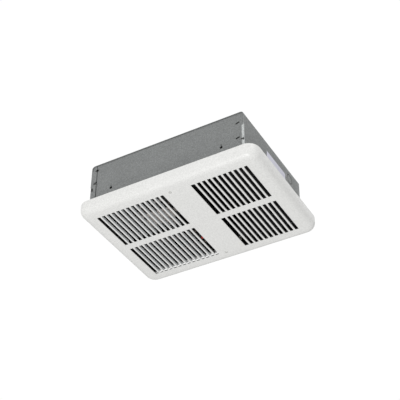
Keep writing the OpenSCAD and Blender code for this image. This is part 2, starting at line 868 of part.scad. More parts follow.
// One motor frame: a cross bar with a bush boss and two feet, its outer face at z = 0, feet upwards
module motor_frame() {
    difference() {
        union() {
            block([-motor_bolt_x - 6, -8, 0], [motor_bolt_x + 6, 8, frame_t]);
            for (s = [-1, 1]) {
                rod_z(s * motor_bolt_x, 0, 0, frame_h, 5);
            }
            rod_z(0, 0, 0, frame_h - 2, boss_r);
        }
        rod_z(0, 0, -cut, frame_h, bush_r + 0.02);
        for (s = [-1, 1]) {
            rod_z(s * motor_bolt_x, 0, -cut, frame_h + cut, motor_bolt_r + 0.1);
        }
    }
}

module motor_frames() color([0.55, 0.55, 0.56]) {
    translate([fan_x, 0, bridge_z1]) motor_frame();
    translate([fan_x, 0, motor_top_z]) mirror([0, 0, 1]) motor_frame();
}

module motor_bushes() color([0.7, 0.55, 0.3]) {
    for (z = [bridge_z1, motor_top_z - frame_h + 2]) {
        difference() {
            rod_z(fan_x, 0, z, z + frame_h - 2, bush_r);
            rod_z(fan_x, 0, z - cut, z + frame_h, shaft_r + shaft_clear);
        }
    }
}

module motor_bolts() color([0.7, 0.7, 0.68]) {
    for (s = [-1, 1]) {
        rod_z(fan_x + s * motor_bolt_x, 0, bridge_z0 - 2, motor_top_z + 1, motor_bolt_r);
        rod_z(fan_x + s * motor_bolt_x, 0, motor_top_z, motor_top_z + bolt_head_h, bolt_head_r);
        translate([fan_x + s * motor_bolt_x, 0, bridge_z0 - bolt_head_h])
            cylinder(r = bolt_nut_r, h = bolt_head_h, $fn = 6);
    }
}

// The bar that carries the motor over the fan opening, its two ends set down on the deck
module motor_bridge() color([0.62, 0.63, 0.62]) {
    foot_y = ring_r + ring_lip + 1;
    difference() {
        union() {
            block([fan_x - bridge_wid / 2, -bridge_y, bridge_z0],
                [fan_x + bridge_wid / 2, bridge_y, bridge_z1]);
            for (s = [0, 1]) {
                mirror([0, s, 0]) block([fan_x - bridge_wid / 2, foot_y, deck_z],
                    [fan_x + bridge_wid / 2, bridge_y, bridge_z1]);
            }
        }
        for (sx = [-1, 1], sy = [-1, 1]) {
            rod_z(fan_x + sx * (bridge_wid / 2 + 30), sy * (core_back_y + 38), deck_z - cut,
                bridge_z1 + cut, 40);
            rod_z(fan_x + sx * bridge_screw_x, sy * bridge_screw_y, deck_z - cut, bridge_z1 + cut,
                bridge_screw_r + 0.1);
        }
        rod_z(fan_x, 0, deck_z - cut, bridge_z1 + cut, shaft_r + 2);
        for (s = [-1, 1]) {
            rod_z(fan_x + s * motor_bolt_x, 0, deck_z - cut, bridge_z1 + cut, motor_bolt_r + 0.1);
        }
    }
}

module bridge_screws() color([0.7, 0.7, 0.68]) {
    for (sx = [-1, 1], sy = [-1, 1]) {
        rod_z(fan_x + sx * bridge_screw_x, sy * bridge_screw_y, bridge_z1, bridge_z1 + screw_head_h,
            bridge_head_r);
        rod_z(fan_x + sx * bridge_screw_x, sy * bridge_screw_y, deck_z0 - 3, bridge_z1 + eps,
            bridge_screw_r);
    }
}

// ---------- heating element ----------

module element_sheaths() color([0.4, 0.37, 0.35]) {
    for (y = pass_ys) {
        rod_x(bend_x, sheath_x1, y, element_z, sheath_r);
    }
    for (s = [-1, 1]) {
        translate([bend_x, s * element_mid_y, element_z]) rotate(90)
            rotate_extrude(angle = 180) translate([bend_r, 0]) circle(sheath_r);
    }
}

// One fin: a thin ring round a sheath that runs along X
module fin() {
    rotate([0, 90, 0]) difference() {
        cylinder(r = fin_r, h = fin_t, center = true);
        cylinder(r = sheath_r + sheath_clear, h = fin_t + cut, center = true);
    }
}

module element_fins() color([0.5, 0.47, 0.45]) {
    near_bracket = 4;
    straight = zone_x1 - bend_x - 6;
    turns = floor(PI * (bend_r - fin_r * 0.4) / fin_pitch);
    for (x = [fin_pitch : fin_pitch : straight], y = pass_ys) {
        if (min([for (b = element_bracket_xs) abs(bend_x + x - b)]) > near_bracket) {
            translate([bend_x + x, y, element_z]) fin();
        }
    }
    for (s = [-1, 1], i = [0 : turns]) {
        translate([bend_x, s * element_mid_y, element_z]) rotate(90 + 180 * i / turns)
            translate([bend_r, 0, 0]) rotate(90) fin();
    }
}

module element_brackets() color([0.66, 0.66, 0.64]) {
    for (x = element_bracket_xs) {
        difference() {
            union() {
                block([x, -zone_y, element_bracket_z0], [x + element_bracket_t, zone_y, element_bracket_z1]);
                for (s = [0, 1]) {
                    mirror([0, s, 0]) block([x, zone_y - element_bracket_t, element_bracket_z0],
                        [x + element_bracket_foot, zone_y, element_bracket_z1]);
                }
            }
            block([x - cut, button_y - cutout_foot, cutout_lead_z - lead_r - lead_clear],
                [x + element_bracket_t + cut, button_y + cutout_foot, cutout_lead_z + element_bracket_foot]);
            for (y = pass_ys) {
                rod_x(x - cut, x + element_bracket_t + cut, y, element_z, sheath_r + sheath_clear);
            }
        }
    }
}

module element_glands() color([0.75, 0.6, 0.3]) {
    for (y = pass_ys) {
        difference() {
            translate([partition_x1, y, element_z]) rotate([0, 90, 0])
                cylinder(r = gland_r, h = gland_len, $fn = 6);
            rod_x(partition_x1 - cut, partition_x1 + gland_len + cut, y, element_z, sheath_r + sheath_clear);
        }
    }
}

module terminal_insulators() color([0.9, 0.88, 0.82]) {
    for (y = pass_ys) {
        rod_x(sheath_x1, sheath_x1 + insulator_len, y, element_z, insulator_r);
    }
}

module terminal_pins() color([0.7, 0.7, 0.68]) {
    for (y = pass_ys) {
        rod_x(sheath_x1 + insulator_len, pin_x1, y, element_z, pin_r);
    }
}

// ---------- controls ----------

module cutout_body() color([0.2, 0.2, 0.22]) {
    difference() {
        union() {
            rod_z(button_x, button_y, cutout_z, cutout_z1, cutout_r);
            for (s = [-1, 1]) {
                block([button_x, button_y + s * 5 - 1.5, cutout_lead_z - 0.4],
                    [button_x + cutout_r + cutout_tab, button_y + s * 5 + 1.5, cutout_lead_z + 0.4]);
            }
        }
        rod_z(button_x, button_y, cutout_z - cut, cutout_z + button_travel + 3, button_r + 0.3);
    }
}

module cutout_bracket() color([0.66, 0.66, 0.64]) {
    block([button_x - cutout_foot, button_y - cutout_foot, cutout_z1],
        [button_x + cutout_foot, zone_y, cutout_z1 + cutout_bracket_t]);
    block([button_x - cutout_foot, zone_y - cutout_bracket_t, cutout_z1],
        [button_x + cutout_foot, zone_y, cutout_z1 + cutout_leg_h]);
}

module reset_button() color([0.75, 0.05, 0.05]) {
    rod_z(button_x, button_y, cutout_z - button_len, cutout_z + 2.5, button_r);
}

module fan_delay_switch() color([0.25, 0.25, 0.27]) {
    rod_z(delay_x, delay_y, deck_z, deck_z + 1, delay_flange_r);
    rod_z(delay_x, delay_y, deck_z, deck_z + delay_h, delay_r);
    for (s = [-1, 1]) {
        block([delay_x + s * 4 - 0.4, delay_y - 3, deck_z + delay_h - eps],
            [delay_x + s * 4 + 0.4, delay_y + 3, deck_z + delay_h + delay_tab_h]);
    }
}

module thermostat_body() color([0.1, 0.1, 0.1]) {
    difference() {
        union() {
            block([plug_x - stat_wid / 2, plug_y - stat_dep / 2, stat_z],
                [plug_x + stat_wid / 2, plug_y + stat_dep / 2, stat_z1]);
            rod_z(plug_x, plug_y, stat_z - stat_neck_len, stat_z + eps, spindle_r + 2);
        }
        rod_z(plug_x, plug_y, stat_z - stat_neck_len - cut, stat_z + spindle_in + 1,
            spindle_r + spindle_clear);
    }
}

module thermostat_spindle() color([0.8, 0.8, 0.78]) {
    difference() {
        rod_z(plug_x, plug_y, spindle_low_z, stat_z + spindle_in, spindle_r);
        translate([plug_x, plug_y, spindle_low_z]) cube([2 * spindle_r + cut, 1, 3], center = true);
        block([plug_x - spindle_r - cut, plug_y + spindle_r * 0.6, spindle_low_z - cut],
            [plug_x + spindle_r + cut, plug_y + spindle_r + cut, stat_z - spindle_round_len]);
    }
}

module thermostat_bracket() color([0.09, 0.09, 0.09]) {
    y0 = plug_y - stat_dep / 2;
    block([partition_x1, y0, stat_z1], [plug_x + stat_wid / 2, shield_y, stat_z1 + box_sheet]);
    block([partition_x1, y0, stat_z1 - stat_leg_h], [partition_x1 + box_sheet, shield_y, stat_z1 + eps]);
}

module terminal_block() color([0.12, 0.12, 0.12]) {
    difference() {
        block([partition_x1, block_y0, block_z],
            [partition_x1 + block_dep, block_y0 + block_len, block_z + block_h]);
        for (i = [0 : poles - 1]) {
            rod_x(partition_x1 + pole_floor, partition_x1 + block_dep + cut,
                block_y0 + (i + 0.5) * pole_gap, block_z + block_h / 2, pole_r);
        }
    }
}

module terminal_screws() color([0.75, 0.65, 0.35]) {
    for (i = [0 : poles - 1]) {
        rod_x(partition_x1 + pole_floor, partition_x1 + block_dep - pole_r,
            block_y0 + (i + 0.5) * pole_gap, block_z + block_h / 2, pole_screw_r);
    }
}

module earth_screw() color([0.1, 0.4, 0.15]) {
    translate([partition_x1, earth_y, block_z + block_h / 2]) rotate([0, 90, 0])
        cylinder(r = earth_r, h = earth_h, $fn = 6);
}

// A lead: straight runs between the points, each run past its bends by the lead's radius
module lead(points) {
    last = len(points) - 2;
    for (i = [0 : last]) {
        run = points[i + 1] - points[i];
        back = i > 0 ? lead_r : 0;
        on = i < last ? lead_r : 0;
        translate(points[i] - back * run / norm(run))
            rotate([0, acos(run[2] / norm(run)), atan2(run[1], run[0])])
                cylinder(r = lead_r, h = norm(run) + back + on, $fn = 8);
    }
}

// From the coil along the near side and down to the terminal block
module motor_leads() color([0.06, 0.06, 0.06]) {
    coil_front = core_front_y - coil_grow;
    for (i = [0, 1]) {
        x = fan_x - 5 + 10 * i;
        y = block_y0 + (i + 0.5) * pole_gap;
        lead([
            [x, coil_front, core_z1 - 4],
            [x, y, core_z1 - 4],
            [partition_x1 + 12, y, core_z1 - 4],
            [partition_x1 + 12, y, block_z + block_h]
        ]);
    }
}

// From the outer pins to the terminal block, and between the two inner pins
module element_leads() color([0.06, 0.06, 0.06]) {
    x = pin_x1 + lead_bend;
    for (i = [0, 1]) {
        turn_x = x + 6 * i;
        pin_y = i == 0 ? -outer_pass_y : outer_pass_y;
        block_y = block_y0 + (i + 2) * pole_gap;
        lead([
            [pin_x1, pin_y, element_z],
            [turn_x, pin_y, element_z],
            [turn_x, block_y, block_z + 5],
            [partition_x1 + block_dep, block_y, block_z + 5]
        ]);
    }
    lead([
        [pin_x1, -inner_pass_y, element_z],
        [x, -inner_pass_y, element_z],
        [x, inner_pass_y, element_z],
        [pin_x1, inner_pass_y, element_z]
    ]);
}

// Between the cut-out, the thermostat, the delay switch, the motor and the terminal block
module control_leads() color([0.07, 0.07, 0.07]) {
    tab_x = button_x + cutout_r + cutout_tab;
    block_mid_x = partition_x1 + block_dep / 2;
    block_z1 = block_z + block_h;
    delay_z = deck_z + delay_h + delay_tab_h;
    lead([
        [tab_x, button_y + 5, cutout_lead_z],
        [plug_x - stat_wid / 2 - lead_bend, button_y + 5, cutout_lead_z],
        [plug_x - stat_wid / 2 - lead_bend, plug_y - 6, cutout_lead_z],
        [plug_x - stat_wid / 2, plug_y - 6, cutout_lead_z]
    ]);
    lead([
        [tab_x, button_y - 5, cutout_lead_z],
        [block_mid_x, button_y - 5, cutout_lead_z],
        [block_mid_x, button_y - 25, block_z + 6],
        [block_mid_x, block_y0 + block_len, block_z + 6]
    ]);
    lead([
        [plug_x - 6, plug_y - stat_dep / 2, stat_z1 - 8],
        [plug_x - 6, -37, stat_z1 - 8],
        [plug_x - 6, -37, block_z1 + lead_bend],
        [block_mid_x, -37, block_z1 + lead_bend],
        [block_mid_x, -37, block_z1]
    ]);
    lead([
        [delay_x + 4, delay_y, delay_z],
        [delay_x + 4, delay_y, core_z1 - 9],
        [delay_x + 4, core_front_y - 3.5, core_z1 - 9],
        [fan_x - coil_x, core_front_y - 3.5, core_z1 - 9]
    ]);
    lead([
        [delay_x - 4, delay_y, delay_z],
        [delay_x - 4, delay_y, delay_z + lead_bend],
        [delay_x - 4, block_y0 - lead_bend, delay_z + lead_bend],
        [block_mid_x, block_y0 - lead_bend, delay_z + lead_bend],
        [block_mid_x, block_y0 - lead_bend, block_z + 9],
        [block_mid_x, block_y0, block_z + 9]
    ]);
}

top_and_ends();
near_side_wall();
far_side_wall();
bare_label();
knockout_disc();
face_cover();
cover_screws();
cover_screw_brackets();
cover_plug();
heater_chassis();
heat_shield();
outlet_collar();
intake_collar();
chassis_screws();
intake_lining();
fan_ring();
fan_wheel();
fan_set_screw();
motor_shaft();
motor_rotor();
motor_core();
motor_coil();
motor_frames();
motor_bushes();
motor_bolts();
motor_bridge();
bridge_screws();
element_sheaths();
element_fins();
element_brackets();
element_glands();
terminal_insulators();
terminal_pins();
cutout_body();
cutout_bracket();
reset_button();
fan_delay_switch();
thermostat_body();
thermostat_spindle();
thermostat_bracket();
terminal_block();
terminal_screws();
earth_screw();
motor_leads();
element_leads();
control_leads();
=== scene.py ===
"""Looks of a ceiling mounted fan heater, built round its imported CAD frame.

Sizes are in millimetres in the classes and become metres when a piece is made.
The origin is the middle of the ceiling plane, +X runs to the intake end and +Z up.
"""

from __future__ import annotations

import sys
import logging
import math
from dataclasses import dataclass, replace
from enum import Enum
from typing import Iterable, Sequence

import bmesh
import bpy
from bmesh.types import BMEdge, BMesh, BMFace, BMVert
from mathutils import Matrix, Vector


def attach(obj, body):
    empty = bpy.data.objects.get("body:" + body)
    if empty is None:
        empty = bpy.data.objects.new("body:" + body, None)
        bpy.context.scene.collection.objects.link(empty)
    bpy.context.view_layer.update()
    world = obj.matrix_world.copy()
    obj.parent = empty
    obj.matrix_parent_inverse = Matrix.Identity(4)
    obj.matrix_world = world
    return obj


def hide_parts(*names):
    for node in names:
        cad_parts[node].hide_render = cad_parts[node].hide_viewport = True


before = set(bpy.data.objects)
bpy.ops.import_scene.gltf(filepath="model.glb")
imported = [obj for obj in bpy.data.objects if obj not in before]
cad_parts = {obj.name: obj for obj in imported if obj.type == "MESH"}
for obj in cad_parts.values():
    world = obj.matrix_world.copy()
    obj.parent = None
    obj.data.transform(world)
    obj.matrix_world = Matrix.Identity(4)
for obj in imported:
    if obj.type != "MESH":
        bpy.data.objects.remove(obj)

log = logging.getLogger("fan_heater")

MM = 0.001
NEAR = 0.01
WELD = 1e-4
ON_PLANE = 1e-5
Point = tuple[float, float, float]
Colour = tuple[float, float, float]
Outline = list[tuple[float, float]]
Socket = bpy.types.NodeSocket


def corners(pair: Iterable[Iterable[float]]) -> list[list[float]]:
    """Gives a box's two corners as plain lists."""
    return [[float(value) for value in corner] for corner in pair]


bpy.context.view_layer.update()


class Axis(Enum):
    """The direction that a round piece runs in, or that a mark is measured along."""

    X = 0
    Y = 1
    Z = 2

    def turn(self) -> Matrix:
        """Turns the Z axis onto this one."""
        quarters, about = ((1, "Y"), (-1, "X"), (0, "Z"))[self.value]
        return Matrix.Rotation(quarters * math.pi / 2, 4, about)

    def unit(self) -> Vector:
        """Gives the direction as a vector of length one."""
        return Vector([float(number == self.value) for number in range(3)])


# ---------- finishes ----------


class Grain(Enum):
    """The fine structure of a surface: the octaves of its noise, and the factors on the three axes."""

    PEEL = (1.5, (1.0, 1.0, 1.0))
    SPANGLE = (0.0, (1.0, 1.0, 1.0))
    BRUSHED = (2.0, (0.04, 1.0, 1.0))
    FIBRE = (8.0, (1.0, 0.45, 1.0))
    LAYERS = (1.0, (0.02, 0.02, 1.0))
    CAST = (6.0, (1.0, 1.0, 1.0))


class Blend(Enum):
    """How one colour goes over another."""

    MIX = "MIX"
    MULTIPLY = "MULTIPLY"


@dataclass(frozen=True)
class Band:
    """How the strength of a mark changes between two places along an axis, low and high, in millimetres.

    Where a middle is given, the places are distances from it along one or two axes, in half sizes.
    """

    axes: tuple[Axis, ...]
    low: float
    high: float
    ends: tuple[float, float] = (0.0, 1.0)
    middle: tuple[float, ...] = ()
    half: tuple[float, ...] = (1.0, 1.0)


@dataclass(frozen=True)
class Mark:
    """A patch of another colour, as strong as its bands multiplied."""

    colour: Colour
    bands: tuple[Band, ...]
    mode: Blend = Blend.MIX


def above(axis: Axis, place: float) -> Band:
    """Lets a mark show past a place."""
    return Band((axis,), place, place + NEAR)


def below(axis: Axis, place: float) -> Band:
    """Lets a mark show short of a place."""
    return Band((axis,), place - NEAR, place, (1.0, 0.0))


def pit(middle: tuple[float, float], half: tuple[float, float], share: float = 0.9) -> Mark:
    """Paints the shade of a small dimple or notch in the near long side as a dark spot, along X and up."""
    spot = Band((Axis.X, Axis.Z), 0.75, 1.25, (share, 0.0), middle, half)
    return Mark((0.012, 0.011, 0.01), (spot, below(Axis.Y, -138.0)))


def paint_vane_shading(left: float, right: float, low: float, high: float, colour: Colour) -> Mark:
    """Paints shade and light onto the louvres between left and right: fades their colour to another one, from
    low to high.
    """
    field = (above(Axis.X, left), below(Axis.X, right), above(Axis.Y, -129.0), below(Axis.Y, 129.0))
    return Mark(colour, (*field, Band((Axis.Z,), low, high)))


@dataclass(frozen=True)
class Finish:
    """A surface: two colours that drift into each other, a grain, a gloss and some wear.

    Fine and broad are the sizes of the grain and of the drift, in millimetres.
    """

    name: str
    slot: str
    light: Colour
    dark: Colour
    grain: Grain = Grain.PEEL
    rough: tuple[float, float] = (0.35, 0.5)
    fine: float = 1.0
    broad: float = 30.0
    metal: float = 0.0
    relief: float = 0.01
    waviness: float = 0.0
    coat: float = 0.0
    grime: float = 0.0
    speckle: float = 0.0
    marks: tuple[Mark, ...] = ()

    def build(self) -> bpy.types.Material:
        """Makes the material, or gives the one already made.

        Returns:
            The node material of this finish.
        """
        label = f"{self.name}_finish"
        made = bpy.data.materials.get(label)
        if made:
            return made
        material = bpy.data.materials.new(label)
        material.use_nodes = True
        NodeSheet(material.node_tree).paint(self)
        material.diffuse_color = (*self.light, 1.0)
        return material


class NodeSheet:
    """The node tree of one material, with the few moves that the finishes share."""

    drift_span: tuple[float, float] = (0.55, 1.45)
    smudge_span: tuple[float, float] = (0.58, 0.8)
    speckle_span: tuple[float, float] = (0.34, 0.66)
    speckle_size: float = 2.8
    wave_size: float = 90.0
    coat_rough: float = 0.15

    def __init__(self, tree: bpy.types.NodeTree) -> None:
        """Keeps the tree, its shader and the object's coordinates.

        Args:
            tree: The material's node tree.
        """
        self.tree = tree
        self.shader = next(n for n in tree.nodes if n.type == "BSDF_PRINCIPLED")
        self.coords = tree.nodes.new("ShaderNodeTexCoord").outputs["Object"]

    def put(self, kind: str, links: dict[str | int, object], **values: object) -> bpy.types.Node:
        """Adds a node, sets its options and links its inputs.

        Args:
            kind: The node's type name.
            links: Sockets or plain values for its inputs, by name or number.
            values: Options of the node.

        Returns:
            The new node.
        """
        node = self.tree.nodes.new(kind)
        for key, value in values.items():
            setattr(node, key, value)
        for key, value in links.items():
            if isinstance(value, Socket):
                self.tree.links.new(value, node.inputs[key])
            else:
                node.inputs[key].default_value = value
        return node

    def mapped(self, scale: Sequence[float], shift: Sequence[float] = (0, 0, 0)) -> Socket:
        """Gives the object's coordinates, scaled and then shifted."""
        links = {"Vector": self.coords, "Scale": tuple(scale), "Location": tuple(shift)}
        return self.put("ShaderNodeMapping", links).outputs[0]

    def noise(self, size: float, detail: float = 3.0, stretch: Sequence[float] = (1, 1, 1)) -> Socket:
        """Adds soft noise.

        Args:
            size: Size of a patch in millimetres.
            detail: Octaves.
            stretch: Factors on the three axes.

        Returns:
            The noise from 0 to 1.
        """
        scale = [1 / MM / size * s for s in stretch]
        node = self.put("ShaderNodeTexNoise", {"Vector": self.mapped(scale), "Scale": 1.0, "Detail": detail})
        return node.outputs["Fac"]

    def ramp(self, source: Socket, low: float, high: float, out: tuple[float, float] = (0.0, 1.0)) -> Socket:
        """Maps the range from low to high onto another one."""
        links = {"Value": source, "From Min": low, "From Max": high, "To Min": out[0], "To Max": out[1]}
        return self.put("ShaderNodeMapRange", links).outputs["Result"]

    def blend(self, share: Socket | float, first: object, second: object, mode: Blend = Blend.MIX) -> Socket:
        """Mixes two colours.

        Args:
            share: How much of the second shows.
            first: A colour or a socket.
            second: A colour or a socket.
            mode: The blend mode.

        Returns:
            The mixed colour.
        """
        sides = [side if isinstance(side, Socket) else (*side, 1.0) for side in (first, second)]
        links = {0: share, 6: sides[0], 7: sides[1]}
        return self.put("ShaderNodeMix", links, data_type="RGBA", blend_type=mode.value).outputs[2]

    def sums(self, kind: str, *values: object) -> Socket:
        """Adds one arithmetic node for one or two operands."""
        return self.put("ShaderNodeMath", dict(enumerate(values)), operation=kind).outputs[0]

    def grain_of(self, finish: Finish) -> Socket:
        """Adds the fine structure of a finish: the crystals of hot-dip zinc, or drawn-out noise.

        Args:
            finish: The finish being made.

        Returns:
            A height from 0 to 1.
        """
        if finish.grain is Grain.SPANGLE:
            links = {"Vector": self.mapped([1 / MM / finish.fine] * 3), "Scale": 1.0, "Randomness": 1.0}
            cell = self.put("ShaderNodeTexVoronoi", links, feature="F1")
            return self.put("ShaderNodeSeparateColor", {"Color": cell.outputs["Color"]}).outputs[0]
        return self.noise(finish.fine, *finish.grain.value)

    def measure(self, band: Band) -> Socket:
        """Gives what a band is measured along.

        Args:
            band: The band.

        Returns:
            The coordinate on its axis, or the distance from its middle in half sizes.
        """
        if not band.middle:
            place = self.put("ShaderNodeSeparateXYZ", {0: self.mapped([1 / MM] * 3)})
            return place.outputs[band.axes[0].value]
        scale, shift = [0.0] * 3, [0.0] * 3
        for axis, at, half in zip(band.axes, band.middle, band.half):
            scale[axis.value], shift[axis.value] = 1 / MM / half, -at / half
        length = self.put("ShaderNodeVectorMath", {0: self.mapped(scale, shift)}, operation="LENGTH")
        return length.outputs["Value"]

    def marked(self, colour: Socket, mark: Mark) -> Socket:
        """Lays a mark over the colour.

        Args:
            colour: The colour so far.
            mark: The mark.

        Returns:
            The colour with the mark.
        """
        share: Socket | float = 1.0
        for band in mark.bands:
            part = self.ramp(self.measure(band), band.low, band.high, band.ends)
            share = self.sums("MULTIPLY", share, part)
        return self.blend(share, colour, mark.colour, mark.mode)

    def paint(self, finish: Finish) -> None:
        """Builds the tree of a finish.

        Args:
            finish: The finish to build.
        """
        shader = self.shader.inputs
        shader["Metallic"].default_value = finish.metal
        if finish.coat:
            shader["Coat Weight"].default_value = finish.coat
            shader["Coat Roughness"].default_value = self.coat_rough
        grain = self.grain_of(finish)
        both = self.sums("ADD", self.noise(finish.broad, 4.0), grain)
        colour = self.blend(self.ramp(both, *self.drift_span), finish.light, finish.dark)
        if finish.grime:
            smudge = self.ramp(self.noise(finish.broad * 0.35, 6.0), *self.smudge_span, (0.0, finish.grime))
            colour = self.blend(smudge, colour, tuple(0.35 * c for c in finish.dark))
        if finish.speckle:
            spots = self.ramp(self.noise(self.speckle_size, 1.0), *self.speckle_span)
            shade = self.blend(spots, (1.0 - finish.speckle,) * 3, (1.0,) * 3)
            colour = self.blend(1.0, colour, shade, Blend.MULTIPLY)
        for mark in finish.marks:
            colour = self.marked(colour, mark)
        self.tree.links.new(colour, shader["Base Color"])
        self.tree.links.new(self.ramp(both, *self.drift_span, finish.rough), shader["Roughness"])
        bump = self.put("ShaderNodeBump", {"Height": grain, "Strength": 1.0, "Distance": finish.relief * MM})
        if finish.waviness:
            bump = self.put("ShaderNodeBump", {"Height": self.noise(self.wave_size, 1.0), "Strength": 1.0,
                "Distance": finish.waviness * MM, "Normal": bump.outputs[0]})
        self.tree.links.new(bump.outputs[0], shader["Normal"])


class Coats:
    """Every finish on the heater."""

    # Painted shade: dark spots for the small holes and notches in the flanges of the near side.
    SHADED_PITS = (pit((-190.8, 100.0), (4.6, 3.6)), pit((-192.4, 62.0), (6.0, 3.4), 0.8),
        pit((-200.0, 45.0), (2.6, 5.4)), pit((186.4, 36.5), (5.0, 2.0)))
    # Painted shade under the top sheet's overhanging edge, and painted shade with dirt in the seam along the
    # left flange's edge.
    SEAM_SHADE_AND_DIRT = (0.0276, 0.02856, 0.02832)
    LAP_SHADE_AND_DIRT = (Mark(SEAM_SHADE_AND_DIRT, (Band((Axis.Z,), 113.2, 114.2, (0.0, 0.1)),)),
        Mark(SEAM_SHADE_AND_DIRT, (Band((Axis.X,), 0.7, 1.7, (0.75, 0.0), (-190.8,)),)))
    # Painted highlight: the galvanised colour is made 2.4 times brighter on the round folds at the intake
    # end's corners, fading out above 74 mm.
    FOLD_PAINTED_HIGHLIGHT = Mark((2.4,) * 3, (Band((Axis.X,), 186.0, 186.8), Band((Axis.Z,), 74.0, 82.0, (1.0, 0.12)),
        Band((Axis.Y,), 138.0, 138.8, middle=(0.0,))), Blend.MULTIPLY)
    # Painted shade: a near-black ring on the end wall round the edge of the cable-hole disc.
    KNOCKOUT_RING_SHADE = Mark((0.012,) * 3, (Band((Axis.Y, Axis.Z), 8.4, 9.7, (0.0, 0.9), (87.0, 85.0)),
        Band((Axis.Y, Axis.Z), 12.3, 13.6, (1.0, 0.0), (87.0, 85.0)), above(Axis.X, 190.0)))
    # Painted shade and light up the louvres: grey, then lighter than the enamel, on the outlet vanes, and
    # near black on the intake vanes.
    PAINTED_VANE_SHADING = (paint_vane_shading(-189.3, -30.0, -29.98, -29.7, (0.39, 0.405, 0.41)),
        paint_vane_shading(-189.3, -30.0, -29.0, -26.8, (0.82, 0.845, 0.85)),
        paint_vane_shading(-30.0, 189.3, -29.95, -28.4, (0.008,) * 3))

    GALVANISED = Finish("galvanised_sheet", "galvanised_steel", (0.262, 0.272, 0.27), (0.23, 0.238, 0.236),
        Grain.SPANGLE, (0.46, 0.58), fine=2.6, broad=160, metal=0.6, relief=0.003, waviness=0.03, grime=0.06,
        speckle=0.22)
    END_SHEET = replace(GALVANISED, name="galvanised_ends", marks=(FOLD_PAINTED_HIGHLIGHT, KNOCKOUT_RING_SHADE, *SHADED_PITS))
    WALL_SHEET = replace(GALVANISED, name="galvanised_wall", marks=(*LAP_SHADE_AND_DIRT, SHADED_PITS[0]))
    ENAMEL = Finish("white_enamel", "white_enamel", (0.752, 0.752, 0.739), (0.722, 0.722, 0.704),
        rough=(0.3, 0.42), fine=1.6, broad=150, waviness=0.08, grime=0.02, speckle=0.11, marks=PAINTED_VANE_SHADING)
    SCREW_ENAMEL = Finish("white_screw_enamel", "white_screw", (0.6, 0.6, 0.58), (0.48, 0.48, 0.46),
        rough=(0.3, 0.5), broad=6, grime=0.3)
    PLUG_PLASTIC = Finish("white_plug_plastic", "white_plastic", (0.74, 0.74, 0.71), (0.66, 0.66, 0.63),
        fine=0.8, broad=8)
    PAPER = Finish("label_stock", "bare_paper", (0.6, 0.6, 0.68), (0.55, 0.55, 0.63), Grain.FIBRE,
        (0.55, 0.7), fine=0.9, broad=60, waviness=0.05, grime=0.05)
    BLACK_ENAMEL = Finish("black_enamel", "black_enamel", (0.012,) * 3, (0.005,) * 3, rough=(0.4, 0.6),
        fine=1.2, broad=50, grime=0.3)
    ALUMINISED = Finish("aluminised_sheet", "aluminised_steel", (0.62, 0.62, 0.6), (0.46, 0.46, 0.44),
        Grain.CAST, (0.32, 0.5), fine=2.2, metal=0.85, waviness=0.1, grime=0.2)
    # Painted shade: the shield and the element brackets are coloured near black for the shade deep in the
    # heating chamber.
    SHADE_DARKENED_SHIELD = replace(ALUMINISED, name="shade_darkened_shield", light=(0.05, 0.048, 0.046), dark=(0.02, 0.019, 0.018))
    BRIGHT = Finish("bright_strip", "bright_steel", (0.75, 0.75, 0.74), (0.6, 0.6, 0.58), Grain.BRUSHED,
        (0.25, 0.42), fine=1.2, broad=40, metal=0.9, relief=0.005, waviness=0.05)
    # Painted shade: the collar is coloured near black left of x = -186.5 mm.
    COLLAR = replace(BRIGHT, name="collar_strip", light=(0.85, 0.85, 0.84), dark=(0.74, 0.74, 0.73),
        rough=(0.35, 0.5), metal=0.25, marks=(Mark((0.006,) * 3, (below(Axis.X, -186.5),)),))
    ZINC = Finish("zinc_plate", "zinc_screw", (0.66, 0.66, 0.63), (0.5, 0.49, 0.44), Grain.CAST, (0.25, 0.45),
        fine=0.8, broad=8, metal=1.0, grime=0.2)
    # Painted shade: near-black felt that lines the intake half and stands for the shade in there.
    SHADE_FELT = Finish("black_felt", "black_felt", (0.016, 0.016, 0.017), (0.004,) * 3, Grain.FIBRE, (0.85, 1.0),
        fine=1.6, broad=18, relief=0.5)
    FAN_METAL = Finish("fan_aluminium", "fan_aluminium", (0.58, 0.54, 0.52), (0.4, 0.36, 0.33), Grain.BRUSHED,
        fine=0.9, metal=0.2, relief=0.004, waviness=0.05,
        marks=(Mark((0.012,) * 3, (Band((Axis.X, Axis.Y), 52.0, 52.4, middle=(-103.1, 0.0)),)),))
    DARK_SCREW = Finish("black_oxide", "dark_screw", (0.06, 0.06, 0.065), (0.02,) * 3, Grain.CAST, (0.3, 0.5),
        fine=0.6, broad=4, metal=1.0, relief=0.005)
    ROTOR = Finish("turned_rotor", "rotor_metal", (0.5, 0.5, 0.48), (0.34, 0.34, 0.33), Grain.LAYERS,
        (0.25, 0.45), fine=0.55, broad=12, metal=1.0, relief=0.02)
    CORE = Finish("varnished_core", "core_steel", (0.17, 0.17, 0.175), (0.07, 0.07, 0.075), Grain.LAYERS,
        (0.3, 0.55), fine=0.6, broad=20, metal=0.7, relief=0.06, grime=0.2)
    TAPE = Finish("winding_tape", "coil_tape", (0.62, 0.38, 0.09), (0.42, 0.22, 0.04), rough=(0.2, 0.35),
        fine=2.0, broad=12, relief=0.03, coat=0.3)
    DIE_CAST = Finish("die_casting", "cast_zinc", (0.42, 0.42, 0.43), (0.3, 0.3, 0.31), Grain.CAST,
        (0.45, 0.65), fine=0.7, broad=10, metal=0.8, relief=0.04, grime=0.2)
    BRONZE = Finish("sintered_bronze", "sintered_bronze", (0.55, 0.38, 0.18), (0.34, 0.22, 0.1), Grain.CAST,
        (0.35, 0.55), fine=0.35, broad=4, metal=0.9, relief=0.02)
